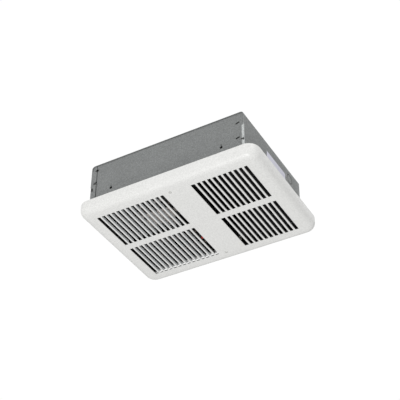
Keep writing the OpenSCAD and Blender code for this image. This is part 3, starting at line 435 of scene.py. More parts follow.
    SHEATH = Finish("tinted_sheath", "element_sheath", (0.12, 0.095, 0.075), (0.05, 0.045, 0.05),
        Grain.BRUSHED, (0.35, 0.55), broad=22, metal=0.9, relief=0.008)
    FINS = Finish("tinted_fins", "element_fin", (0.13, 0.11, 0.09), (0.06, 0.052, 0.055), Grain.CAST,
        (0.35, 0.55), broad=26, metal=0.9)
    BRASS = Finish("machined_brass", "gland_brass", (0.72, 0.54, 0.24), (0.55, 0.38, 0.14), Grain.BRUSHED,
        (0.2, 0.38), fine=0.5, broad=6, metal=1.0, relief=0.006)
    GLAZE = Finish("glazed_ceramic", "ceramic", (0.83, 0.8, 0.72), (0.72, 0.68, 0.6), rough=(0.12, 0.25),
        fine=1.2, broad=5, coat=0.5)
    PHENOLIC = Finish("phenolic_moulding", "black_plastic", (0.03, 0.028, 0.027), (0.012,) * 3, Grain.CAST,
        (0.4, 0.6), fine=0.7, broad=12, relief=0.02)
    RED = Finish("red_moulding", "red_plastic", (0.72, 0.03, 0.02), (0.5, 0.015, 0.01), rough=(0.2, 0.32),
        fine=0.7, broad=3, coat=0.4)
    NYLON = Finish("natural_nylon", "spindle_plastic", (0.66, 0.65, 0.6), (0.52, 0.51, 0.46),
        rough=(0.3, 0.45), fine=0.8, broad=5)
    EARTH = Finish("green_zinc", "earth_green", (0.05, 0.3, 0.09), (0.02, 0.16, 0.05), Grain.CAST,
        (0.28, 0.45), fine=0.6, broad=3, metal=0.6)
    SLEEVE = Finish("lead_sleeve", "lead_sleeve", (0.03,) * 3, (0.012,) * 3, Grain.FIBRE, (0.55, 0.75),
        fine=0.5, broad=6, relief=0.03)


# ---------- making pieces ----------


def only(kind: type, geom: Iterable[object]) -> list:
    """Picks the vertices, edges or faces out of an operator's result."""
    return [g for g in geom if isinstance(g, kind)]


def mirrored(lower: Outline, middle: float = 0.0) -> Outline:
    """Gives an outline of (radius, height) points and its mirror image above a middle height."""
    return [*lower, *[(radius, 2 * middle - height) for radius, height in reversed(lower)]]


def ridges(first: float, second: float, start: float, step: float, count: int) -> Outline:
    """Gives the outline of a thread: two radii in turn, a step apart in height."""
    return [(second if i % 2 else first, start + step * i) for i in range(count)]


class Form:
    """A shape under way: a bmesh with the moves that the pieces share. All lengths are millimetres."""

    def __init__(self) -> None:
        """Starts an empty shape."""
        self.bm: BMesh = bmesh.new()

    @staticmethod
    def copied(node: str) -> Form:
        """Starts from a CAD node's shape, with its loose triangles merged into flat faces.

        Args:
            node: The node's name.

        Returns:
            The shape, in millimetres.
        """
        form = Form()
        bm = form.bm
        bm.from_mesh(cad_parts[node].data)
        bmesh.ops.remove_doubles(bm, verts=bm.verts, dist=2e-6)
        bmesh.ops.dissolve_limit(bm, angle_limit=math.radians(0.4), verts=bm.verts, edges=bm.edges,
            use_dissolve_boundaries=False, delimit=set())
        bmesh.ops.scale(bm, vec=[1 / MM] * 3, verts=bm.verts)
        return form

    def all(self) -> list[BMVert | BMEdge | BMFace]:
        """Gives every vertex, edge and face."""
        return [*self.bm.verts, *self.bm.edges, *self.bm.faces]

    def added(self, known: set[BMVert]) -> list[BMVert]:
        """Gives the vertices that aren't among the known ones."""
        return [v for v in self.bm.verts if v not in known]

    def face_out(self, verts: Iterable[BMVert]) -> None:
        """Points the faces round some vertices outwards."""
        bmesh.ops.recalc_face_normals(self.bm, faces=list({f for v in verts for f in v.link_faces}))

    def placed(self, verts: Iterable[BMVert], place: Matrix) -> None:
        """Moves and turns some vertices by a matrix."""
        bmesh.ops.transform(self.bm, matrix=place, verts=list(verts))

    def moved(self, verts: Iterable[BMVert], by: Point) -> None:
        """Moves some vertices."""
        bmesh.ops.translate(self.bm, verts=list(verts), vec=by)

    def rod(self, centre: Point, radius: float, length: float, sides: int) -> None:
        """Adds an upright closed prism from the middle of its foot."""
        place = Matrix.Translation(Vector(centre) + Vector((0, 0, length / 2)))
        bmesh.ops.create_cone(self.bm, cap_ends=True, cap_tris=False, segments=sides, radius1=radius,
            radius2=radius, depth=length, matrix=place)

    def block(self, low: Point, high: Point) -> None:
        """Adds a box between its lowest and its highest corner."""
        size, middle = Vector(high) - Vector(low), (Vector(high) + Vector(low)) / 2
        bmesh.ops.create_cube(self.bm, size=1.0,
            matrix=Matrix.Translation(middle) @ Matrix.Diagonal((*size, 1.0)))

    def lathe(self, outline: Outline, centre: Point, axis: Axis = Axis.Z, sides: int = 48) -> list[BMVert]:
        """Turns an outline of (radius, height) points round an axis into a closed solid.

        Args:
            outline: Points from the axis to the axis, or all round for a piece with a bore.
            centre: Where the axis and height zero meet.
            axis: The axis turned about.
            sides: Steps of the turn.

        Returns:
            The solid's vertices.
        """
        before = set(self.bm.verts)
        verts = [self.bm.verts.new((radius, 0.0, height)) for radius, height in outline]
        ends = verts[1:] + (verts[:1] if outline[0][0] > 0 else [])
        edges = [self.bm.edges.new(pair) for pair in zip(verts, ends)]
        bmesh.ops.spin(self.bm, geom=[*verts, *edges], cent=(0, 0, 0), axis=(0, 0, 1), angle=2 * math.pi,
            steps=sides, use_merge=True)
        bmesh.ops.remove_doubles(self.bm, verts=self.added(before), dist=WELD)
        new = self.added(before)
        self.face_out(new)
        self.placed(new, Matrix.Translation(centre) @ axis.turn())
        return new

    def bevelled(self, geom: Iterable[object], width: float, steps: int, corners: bool = False,
        clamp: bool = False) -> None:
        """Rounds some edges, or the corners of a flat sheet."""
        bmesh.ops.bevel(self.bm, geom=geom, offset=width, offset_type="OFFSET", segments=steps, profile=0.5,
            affect="VERTICES" if corners else "EDGES", clamp_overlap=clamp, material=-1)

    def soften(self, width: float, steps: int = 2, angle: float = 32.0,
        edges: Iterable[BMEdge] | None = None) -> None:
        """Rounds the sharp edges.

        Args:
            width: How far the rounding reaches from an edge.
            steps: Segments of the rounding.
            angle: Edges that turn less than these degrees stay.
            edges: The edges looked at, or None for all.
        """
        limit = math.radians(angle)
        sharp = [e for e in (edges or self.bm.edges)
            if len(e.link_faces) == 2 and e.calc_face_angle(0) > limit]
        self.bevelled(sharp, width, steps, clamp=True)

    def cut(self, axis: Axis, places: Iterable[float]) -> None:
        """Cuts edges through the whole shape at planes square to an axis.

        Args:
            axis: The axis.
            places: Where the planes stand on it.
        """
        normal = axis.unit()
        for place in places:
            bmesh.ops.bisect_plane(self.bm, geom=self.all(), dist=ON_PLANE, plane_co=normal * place,
                plane_no=normal)

    def slotted(self, centre: Point, half: float, reach: float, depth: float, about: float = 0.0) -> None:
        """Presses a screwdriver slot into the face that lies at a height and looks up or down.

        Args:
            centre: Middle of the slot on the face.
            half: Half the slot's width.
            reach: Half the slot's length.
            depth: Where the slot's floor goes, as a move along Z.
            about: Angle of the slot round Z in degrees.
        """
        turn = Matrix.Rotation(math.radians(about), 3, "Z")
        middle = Vector(centre)
        off = {f: f.calc_center_median() - middle for f in self.bm.faces}
        top = [f for f, at in off.items()
            if abs(at.z) < 2 * NEAR and at.length < reach * 2 and abs(f.normal.z) > 0.9]
        for normal, place in ((Axis.Y, half), (Axis.Y, -half), (Axis.X, reach), (Axis.X, -reach)):
            geom = list({*top, *(e for f in top for e in f.edges), *(v for f in top for v in f.verts)})
            way = turn @ normal.unit()
            made = bmesh.ops.bisect_plane(self.bm, geom=geom, dist=ON_PLANE, plane_co=middle + way * place,
                plane_no=way)
            top = list({f for f in [*top, *only(BMFace, made["geom"])] if f.is_valid})
        local = {f: turn.inverted() @ (f.calc_center_median() - middle) for f in top}
        inside = [f for f, at in local.items() if abs(at.x) < reach and abs(at.y) < half]
        made = bmesh.ops.extrude_face_region(self.bm, geom=inside)
        bmesh.ops.delete(self.bm, geom=inside, context="FACES_ONLY")
        self.moved(only(BMVert, made["geom"]), (0, 0, depth))


@dataclass
class Piece:
    """A finished piece: its name, its finish, the nodes it stands for and the body it rides on."""

    name: str
    coat: Finish
    stands_for: tuple[str, ...] = ()
    body: str = "housing"
    smooth: float = 35.0

    def make(self, form: Form) -> bpy.types.Object:
        """Turns a shape into an object of the scene, in metres.

        Args:
            form: The shape, in millimetres. It is used up.

        Returns:
            The object, which rides on its body.
        """
        bmesh.ops.scale(form.bm, vec=[MM] * 3, verts=form.bm.verts)
        form.bm.normal_update()
        mesh = bpy.data.meshes.new(self.name)
        form.bm.to_mesh(mesh)
        form.bm.free()
        mesh.shade_smooth()
        mesh.set_sharp_from_angle(angle=math.radians(self.smooth))
        mesh.materials.append(self.coat.build())
        made = bpy.data.objects.new(self.name, mesh)
        bpy.context.scene.collection.objects.link(made)
        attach(made, self.body)
        if self.stands_for:
            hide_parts(*self.stands_for)
        log.info("%s: %d faces", self.name, len(mesh.polygons))
        return made


def pressed(node: str, coat: Finish, width: float = 0.25, body: str = "housing", steps: int = 2) -> None:
    """Stands a copy of a CAD node in its place, with the small round edges of real sheet or bar.

    Args:
        node: The node's name.
        coat: Its finish.
        width: Reach of the rounding.
        body: The body it rides on.
        steps: Segments of the rounding.
    """
    form = Form.copied(node)
    form.soften(width, steps)
    Piece(f"{node}_piece", coat, (node,), body).make(form)


# ---------- cover ----------


@dataclass
class LouvredCover:
    """The white steel cover: a pan with rolled edges and four groups of pressed louvres."""

    length: float = 450.0
    width: float = 323.0
    depth: float = 30.0
    sheet: float = 1.0
    corner_r: float = 27.0
    edge_r: float = 18.0
    pitch: float = 12.7
    slot_w: float = 7.6
    slot_y: tuple[float, float] = (9.15, 127.15)
    groups: tuple[tuple[float, int, float], ...] = ((-189.45, 14, 0.2), (54.85, 11, 2.0))
    screw_hole: float = 2.3
    plug_hole: float = 3.15
    roll_steps: int = 8
    edge_soft: float = 0.25
    vane_h: float = 4.5
    bend_r: float = 2.4
    relief: float = 6.0
    screw: tuple[float, float] = (2.0, 128.0)
    plug: tuple[float, float] = (46.35, 112.8)

    def outward(self, co: Vector) -> Vector:
        """Tells which way the pan's edge faces.

        Args:
            co: A point on the edge.

        Returns:
            The level direction out of the pan.
        """
        mid = (self.length / 2 - self.corner_r, self.width / 2 - self.corner_r)
        way = Vector((max(abs(co.x) - mid[0], 0.0), max(abs(co.y) - mid[1], 0.0), 0.0))
        if way.x < 1e-3 or way.y < 1e-3:
            way = Vector((float(way.x >= way.y), float(way.x < way.y), 0.0))
        return Vector((math.copysign(way.x, co.x), math.copysign(way.y, co.y), 0.0)).normalized()

    def roll_edge(self, form: Form) -> None:
        """Draws the plate's outline out and up into the rolled edge.

        Args:
            form: The plate.
        """
        steps = [math.pi / 2 * i / self.roll_steps for i in range(self.roll_steps + 1)]
        moves = [(self.edge_r * (math.sin(b) - math.sin(a)), self.edge_r * (math.cos(a) - math.cos(b)))
            for a, b in zip(steps, steps[1:])]
        moves.append((0.0, self.depth - self.edge_r))
        rim = [e for e in form.bm.edges if len(e.link_faces) == 1]
        for out, up in moves:
            made = bmesh.ops.extrude_edge_only(form.bm, edges=rim)
            rim = [e for e in only(BMEdge, made["geom"]) if len(e.link_faces) == 1]
            for vert in {v for e in rim for v in e.verts}:
                vert.co += self.outward(vert.co) * out + Vector((0, 0, up))

    def slot_lefts(self) -> list[tuple[float, float, bool]]:
        """Gives each slot's left edge, how much further left it is cut, and whether a vane stands there."""
        return [(x0 + i * self.pitch, self.bend_r if i else lead, i > 0)
            for x0, count, lead in self.groups for i in range(count)]

    def in_slot(self, co: Vector) -> bool:
        """Tells whether a point of the plate lies in a slot, which is narrower past the ends of its vane.

        Args:
            co: The point.

        Returns:
            True where the sheet is cut away.
        """
        low, high = self.slot_y
        bent = low + self.relief < abs(co.y) < high - self.relief
        starts = [(left, more if bent or not vane else 0.0) for left, more, vane in self.slot_lefts()]
        return low < abs(co.y) < high and any(x - more < co.x < x + self.slot_w for x, more in starts)

    def open_slots(self, form: Form) -> None:
        """Cuts the slots and the screw and plug holes.

        Args:
            form: The pan.
        """
        low, high = self.slot_y
        across, along = self.screw
        holes = [((across, side * along), self.screw_hole) for side in (1, -1)]
        holes.append((self.plug, self.plug_hole))
        xs = {left + off for left, more, _ in self.slot_lefts() for off in (-more, 0.0, self.slot_w)}
        xs |= {at[0] + s * half for at, half in holes for s in (-1, 1)}
        ys = {s * y for y in (low, low + self.relief, high - self.relief, high) for s in (-1, 1)}
        ys |= {at[1] + s * half for at, half in holes for s in (-1, 1)}
        form.cut(Axis.X, sorted(xs))
        form.cut(Axis.Y, sorted(ys))
        gone = []
        for face in form.bm.faces:
            mid = face.calc_center_median()
            if mid.z > NEAR - self.depth:
                continue
            hole = any(abs(mid.x - at[0]) < half and abs(mid.y - at[1]) < half for at, half in holes)
            if hole or self.in_slot(mid):
                gone.append(face)
        bmesh.ops.delete(form.bm, geom=gone, context="FACES")

    def raise_vanes(self, form: Form) -> None:
        """Bends the left edge of each slot but the first up into a vane.

        Args:
            form: The pan with its slots.
        """
        low, high = self.slot_y[0] + self.relief - NEAR, self.slot_y[1] - self.relief + NEAR
        feet = [left - more for left, more, vane in self.slot_lefts() if vane]
        for foot in feet:
            for side in (-1, 1):
                edges = [e for e in form.bm.edges if len(e.link_faces) == 1
                    and all(abs(v.co.x - foot) < NEAR and low < side * v.co.y < high for v in e.verts)]
                verts = list({v for e in edges for v in e.verts})
                made = bmesh.ops.spin(form.bm, geom=[*verts, *edges], axis=(0, 1, 0), angle=-math.pi / 2,
                    cent=(foot, 0, self.bend_r - self.depth), steps=4)
                made = bmesh.ops.extrude_edge_only(form.bm, edges=only(BMEdge, made["geom_last"]))
                form.moved(only(BMVert, made["geom"]), (0, 0, self.vane_h - self.bend_r))

    def build_pan(self) -> None:
        """Makes the pan of the cover from one flat sheet."""
        form = Form()
        flat = (self.length / 2 - self.edge_r, self.width / 2 - self.edge_r)
        bmesh.ops.create_grid(form.bm, x_segments=1, y_segments=1, size=1.0)
        bmesh.ops.scale(form.bm, vec=(*flat, 1.0), verts=form.bm.verts)
        form.moved(form.bm.verts, (0, 0, -self.depth))
        form.bevelled(form.bm.verts, self.corner_r - self.edge_r, 10, corners=True)
        self.roll_edge(form)
        self.open_slots(form)
        self.raise_vanes(form)
        bmesh.ops.recalc_face_normals(form.bm, faces=form.bm.faces)
        plate = max(form.bm.faces, key=lambda f: f.calc_area())
        if plate.normal.z > 0:
            bmesh.ops.reverse_faces(form.bm, faces=form.bm.faces)
        pan = Piece("louvred_cover", Coats.ENAMEL, ("face_cover",), smooth=40.0).make(form)
        wall = pan.modifiers.new("sheet", "SOLIDIFY")
        wall.thickness, wall.offset, wall.use_even_offset = self.sheet * MM, -1.0, True
        soft = pan.modifiers.new("stamped_edge", "BEVEL")
        soft.width, soft.segments, soft.limit_method = self.edge_soft * MM, 2, "ANGLE"
        soft.angle_limit = math.radians(50)
        soft.harden_normals = True

    def build_fixings(self) -> None:
        """Makes the two painted cover screws and the plug over the thermostat's spindle."""
        form = Form()
        head = 1.6
        screw = [(0, 39.95), (1.4, 39.95), *ridges(2.0, 1.68, 39.4, -0.35, 108), (1.9, 1.4), (1.9, 0.0),
            (3.5, 0.0), (3.6, -0.25), (3.2, -1.0), (2.2, -1.45), (1.2, -head), (0, -head)]
        for side, about in ((-1, 25.0), (1, 70.0)):
            x, y = self.screw[0], side * self.screw[1]
            form.lathe(screw, (x, y, -self.depth), sides=32)
            form.slotted((x, y, -self.depth - head), 0.42, 2.4, 0.8, about)
        Piece("cover_screws_painted", Coats.SCREW_ENAMEL, ("cover_screws",)).make(form)
        form = Form()
        form.lathe([(0, 2.5), (2.6, 2.5), (3.1, 1.4), (3.1, 0.0), (4.5, 0.0), (4.6, -0.2), (4.3, -0.55),
            (3.4, -0.7), (0, -0.7)], (*self.plug, -self.depth), sides=40)
        Piece("thermostat_plug", Coats.PLUG_PLASTIC, ("cover_plug",)).make(form)

    def build(self) -> None:
        """Makes the cover and what sits in it."""
        self.build_pan()
        self.build_fixings()


# ---------- recess box ----------


@dataclass
class RecessBox:
    """The galvanised box: top and ends in one sheet, two long sides, a label and cable holes."""

    end_x: float = 191.2
    length: float = 396.0
    half_width: float = 141.0
    fold_r: float = 2.8
    fold_top: float = 101.0
    label: tuple[float, float, float, float] = (-30.0, 63.0, 22.0, 84.0)
    label_t: float = 0.25
    disc: tuple[float, float, float] = (87.0, 85.0, 10.85)
    dish: tuple[float, float] = (4.5, 3.6)
    sheet: float = 1.2

    def build_sheets(self) -> None:
        """Makes the folded sheets of the box."""
        self.build_wrap()
        pressed("near_side_wall", Coats.WALL_SHEET)
        pressed("far_side_wall", Coats.WALL_SHEET)
        pressed("cover_screw_brackets", Coats.GALVANISED)

    def build_wrap(self) -> None:
        """Makes the folded top and ends, with round folds where the flanges turn onto the sides."""
        form = Form.copied("top_and_ends")
        ends = (self.end_x, self.end_x - self.length)
        corner = {v for v in form.bm.verts if min(abs(v.co.x - x) for x in ends) < NEAR
            and abs(abs(v.co.y) - self.half_width) < NEAR and v.co.z < self.fold_top}
        folds = [e for e in form.bm.edges if corner.issuperset(e.verts)
            and abs(e.verts[0].co.z - e.verts[1].co.z) > 2.0]
        form.bevelled(folds, self.fold_r, 5)
        form.soften(0.3, 2, 40)
        Piece("folded_top_and_ends", Coats.END_SHEET, ("top_and_ends",)).make(form)

    def build_label(self) -> None:
        """Makes the bare label with its round corners."""
        y0, y1, z0, z1 = self.label
        form = Form()
        form.block((self.end_x, y0, z0), (self.end_x + self.label_t, y1, z1))
        upright = [e for e in form.bm.edges if abs(e.verts[0].co.x - e.verts[1].co.x) > self.label_t / 2]
        form.soften(2.5, 5, edges=upright)
        form.soften(0.08, 2)
        Piece("end_label", Coats.PAPER, ("bare_label",)).make(form)

    def build_disc(self) -> None:
        """Makes the disc that closes the upper cable hole, with its pressed dish."""
        y, z, radius = self.disc
        inner, outer = radius - self.dish[0], radius - self.dish[1]
        thick = self.sheet
        form = Form()
        form.lathe([(0, 0.35), (inner, 0.35), (outer, 0.0), (radius, 0.0), (radius, thick), (outer, thick),
            (inner, thick), (0, thick)], (self.end_x - thick, y, z), Axis.X, 56)
        form.soften(0.15, 2, 50)
        Piece("cable_hole_disc", Coats.GALVANISED, ("knockout_disc",)).make(form)

    def build(self) -> None:
        """Makes the box and what is fixed to it."""
        self.build_sheets()
        self.build_label()
        self.build_disc()


# ---------- small fixings ----------


@dataclass(frozen=True)
class Screw:
    """A slotted pan-head screw: its head on one side of its seat and its thread on the other."""

    head_r: float
    head_h: float
    thread_r: float
    length: float
    up: int = 1
    pitch: float = 0.7
    root_share: float = 0.84
    slot_share: float = 0.13
    dome: tuple[tuple[float, float], ...] = ((0.97, 0.0), (1.0, 0.18), (0.95, 0.55), (0.82, 0.87),
        (0.68, 1.0), (0.0, 1.0))

    def add(self, form: Form, seat: Point, about: float = 0.0) -> None:
        """Adds the screw to a shape.

        Args:
            form: The shape.
            seat: Middle of the plane under the head.
            about: Angle of its driver slot in degrees.
        """
        root, head, high = self.thread_r * self.root_share, self.head_r, self.head_h
        count = int((self.length - 1.2) / self.pitch * 2)
        thread = ridges(self.thread_r, root, self.length - 0.6, -self.pitch / 2, count)
        outline = [(0.0, self.length), (root * 0.8, self.length), *thread, (root, 0.3), (root, 0.0)]
        outline += [(head * wide, -high * deep) for wide, deep in self.dome]
        form.lathe([(radius, self.up * height) for radius, height in outline], seat, sides=24)
        top = (seat[0], seat[1], seat[2] - self.up * high)
        form.slotted(top, self.slot_share * head, head, self.up * high / 2, about)


# ---------- heating zone ----------


@dataclass
class HeatingZone:
    """The sheet parts round the elements, their screws and the black lining of the intake half, whose near
    black stands for painted shade.
    """

    screw_x: tuple[float, ...] = (-158.1, -48.1)
    screw_y: float = 134.6
    screw_seat: float = -4.8
    collar_lip: float = 5.2

    def build_sheets(self) -> None:
        """Makes the chassis, the heat shield and the outlet's collar."""
        pressed("heater_chassis", Coats.BLACK_ENAMEL, 0.3)
        pressed("heat_shield", Coats.SHADE_DARKENED_SHIELD, 0.2)
        pressed("outlet_collar", Coats.COLLAR)

    def build_intake_collar(self) -> None:
        """Makes the intake's collar, with its lip close over the cover's plate, which keeps daylight out."""
        form = Form.copied("intake_collar")
        low = min(v.co.z for v in form.bm.verts)
        form.moved([v for v in form.bm.verts if v.co.z < low + 0.1], (0, 0, -self.collar_lip))
        form.soften(0.25, 2, 40)
        Piece("black_intake_collar", Coats.BLACK_ENAMEL, ("intake_collar",)).make(form)

    def build_screws(self) -> None:
        """Makes the four screws that hold the chassis to the box's lips."""
        form = Form()
        screw = Screw(3.2, 2.0, 1.9, 5.8)
        for number, x in enumerate(self.screw_x):
            for side in (-1, 1):
                screw.add(form, (x, side * self.screw_y, self.screw_seat), 30.0 + 47.0 * number * side)
        Piece("chassis_pan_screws", Coats.ZINC, ("chassis_screws",)).make(form)

    def build(self) -> None:
        """Makes the heating zone."""
        self.build_sheets()
        self.build_intake_collar()
        self.build_screws()
        # Painted shade: the intake half is lined with near-black felt that stands for its shade.
        pressed("intake_lining", Coats.SHADE_FELT, 0.9, steps=3)


# ---------- fan ----------


@dataclass
class Fan:
    """The blade wheel on its hub, with its set screw, and the ring that it turns in."""

    x: float = -103.1
    middle_z: float = 36.0
    radius: float = 84.0
    blades: int = 5
    lean: float = 22.0
    curve_r: float = 55.0
    blade_t: float = 1.2
    root_r: float = 8.0
    arm_half: float = 6.4
    swell: tuple[float, float] = (33.0, 11.0)
    paddle_more: float = 15.4
    tip: tuple[float, float] = (74.0, 10.0)
    tip_drop: float = 8.0
    rib_h: float = 0.9
    rib_half: float = 2.6
    rib_end: tuple[float, float] = (58.0, 14.0)
    hub_r: float = 11.0
    hub_h: float = 13.0
    plate_r: float = 36.0
    bore_r: float = 3.05
    ring_r: float = 87.0
    ring_t: float = 1.0
    ring_z: tuple[float, float] = (30.0, 51.0)
    lip: float = 5.0
    set_screw_z: float = 40.3

    def half_width(self, out: float) -> float:
        """Gives half a blade's width: a narrow arm, a broad paddle and a round tip.

        Args:
            out: Distance from the shaft.

        Returns:
            Half the width.
        """
        swell = min(max((out - self.swell[0]) / self.swell[1], 0.0), 1.0)
        tip = min(max((out - self.tip[0]) / self.tip[1], 0.0), 0.985)
        paddle = self.paddle_more * swell * swell * (3.0 - 2.0 * swell)
        return self.arm_half + paddle - self.tip_drop * (1.0 - math.sqrt(1.0 - tip * tip))

    def add_blade(self, form: Form, angle: float) -> None:
        """Forms one blade from a flat grid and turns it to its place.

        Args:
            form: The wheel.
            angle: Its place round the shaft in degrees.
        """
        grid = bmesh.ops.create_grid(form.bm, x_segments=30, y_segments=12, size=1.0)["verts"]
        lean = math.radians(self.lean)
        for vert in grid:
            out = self.root_r + (vert.co.x + 1.0) / 2.0 * (self.radius - self.root_r)
            across = vert.co.y * self.half_width(out)
            sag = math.sqrt(self.curve_r ** 2 - across ** 2) - self.curve_r
            rib = self.rib_h * math.exp(-(across / self.rib_half) ** 2)
            rib *= min(max((self.rib_end[0] - out) / self.rib_end[1], 0.0), 1.0)
            level = math.cos(lean) * across - math.sin(lean) * (sag - rib)
            height = math.sin(lean) * across + math.cos(lean) * (sag - rib)
            vert.co = (min(out, math.sqrt(self.radius ** 2 - level ** 2)), level, self.middle_z + height)
        faces = list({f for v in grid for f in v.link_faces})
        before = set(form.bm.verts) - set(grid)
        bmesh.ops.solidify(form.bm, geom=faces, thickness=self.blade_t)
        new = form.added(before)
        form.face_out(new)
        form.placed(new, Matrix.Translation((self.x, 0, 0)) @ Matrix.Rotation(math.radians(angle), 4, "Z"))

    def build_wheel(self) -> None:
        """Makes the wheel: its blades, and the hub with its plate."""
        form = Form()
        for number in range(self.blades):
            self.add_blade(form, 360.0 * number / self.blades)
        half, hub, bore, thick = self.hub_h / 2, self.hub_r, self.bore_r, self.blade_t / 2
        rim = self.plate_r
        lower = [(bore, 0.4 - half), (bore + 0.4, -half), (hub - 0.8, -half), (hub, 0.8 - half),
            (hub, -thick - 0.9), (hub + 0.9, -thick), (rim - 0.2, -thick), (rim, -0.3)]
        form.lathe(mirrored(lower), (self.x, 0, self.middle_z), sides=72)
        Piece("formed_fan_wheel", Coats.FAN_METAL, ("fan_wheel",), "rotor", 40.0).make(form)
        form = Form()
        form.lathe([(0, 1.4), (0.62, 1.2), (0.62, 0.0), (1.05, 0.0), *ridges(1.08, 1.25, 0.5, 0.25, 28),
            (0.8, 7.8), (0, 7.8)], (self.x - self.hub_r, 0, self.set_screw_z), Axis.X, 24)
        Piece("hub_set_screw", Coats.DARK_SCREW, ("fan_set_screw",), "rotor").make(form)

    def build_ring(self) -> None:
        """Makes the ring with its rolled mouth."""
        inner, outer = self.ring_r, self.ring_r + self.ring_t
        low, high = self.ring_z
        far = outer - 1 + self.lip
        form = Form()
        form.lathe([(inner, low + 0.25), (inner + 0.25, low), (outer - 0.25, low), (outer, low + 0.25),
            (outer, high - 2.2), (outer + 0.3, high - 1.35), (outer + 1.1, high - 1.0),
            (far - 0.25, high - 1.0), (far, high - 0.75), (far, high - 0.25), (far - 0.25, high),
            (outer + 0.9, high), (inner + 0.75, high - 0.45), (inner + 0.2, high - 1.2),
            (inner, high - 2.2)], (self.x, 0, 0), sides=128)
        Piece("fan_mouth_ring", Coats.BRIGHT, ("fan_ring",)).make(form)

    def build(self) -> None:
        """Makes the fan and its ring."""
        self.build_wheel()
        self.build_ring()


# ---------- motor ----------


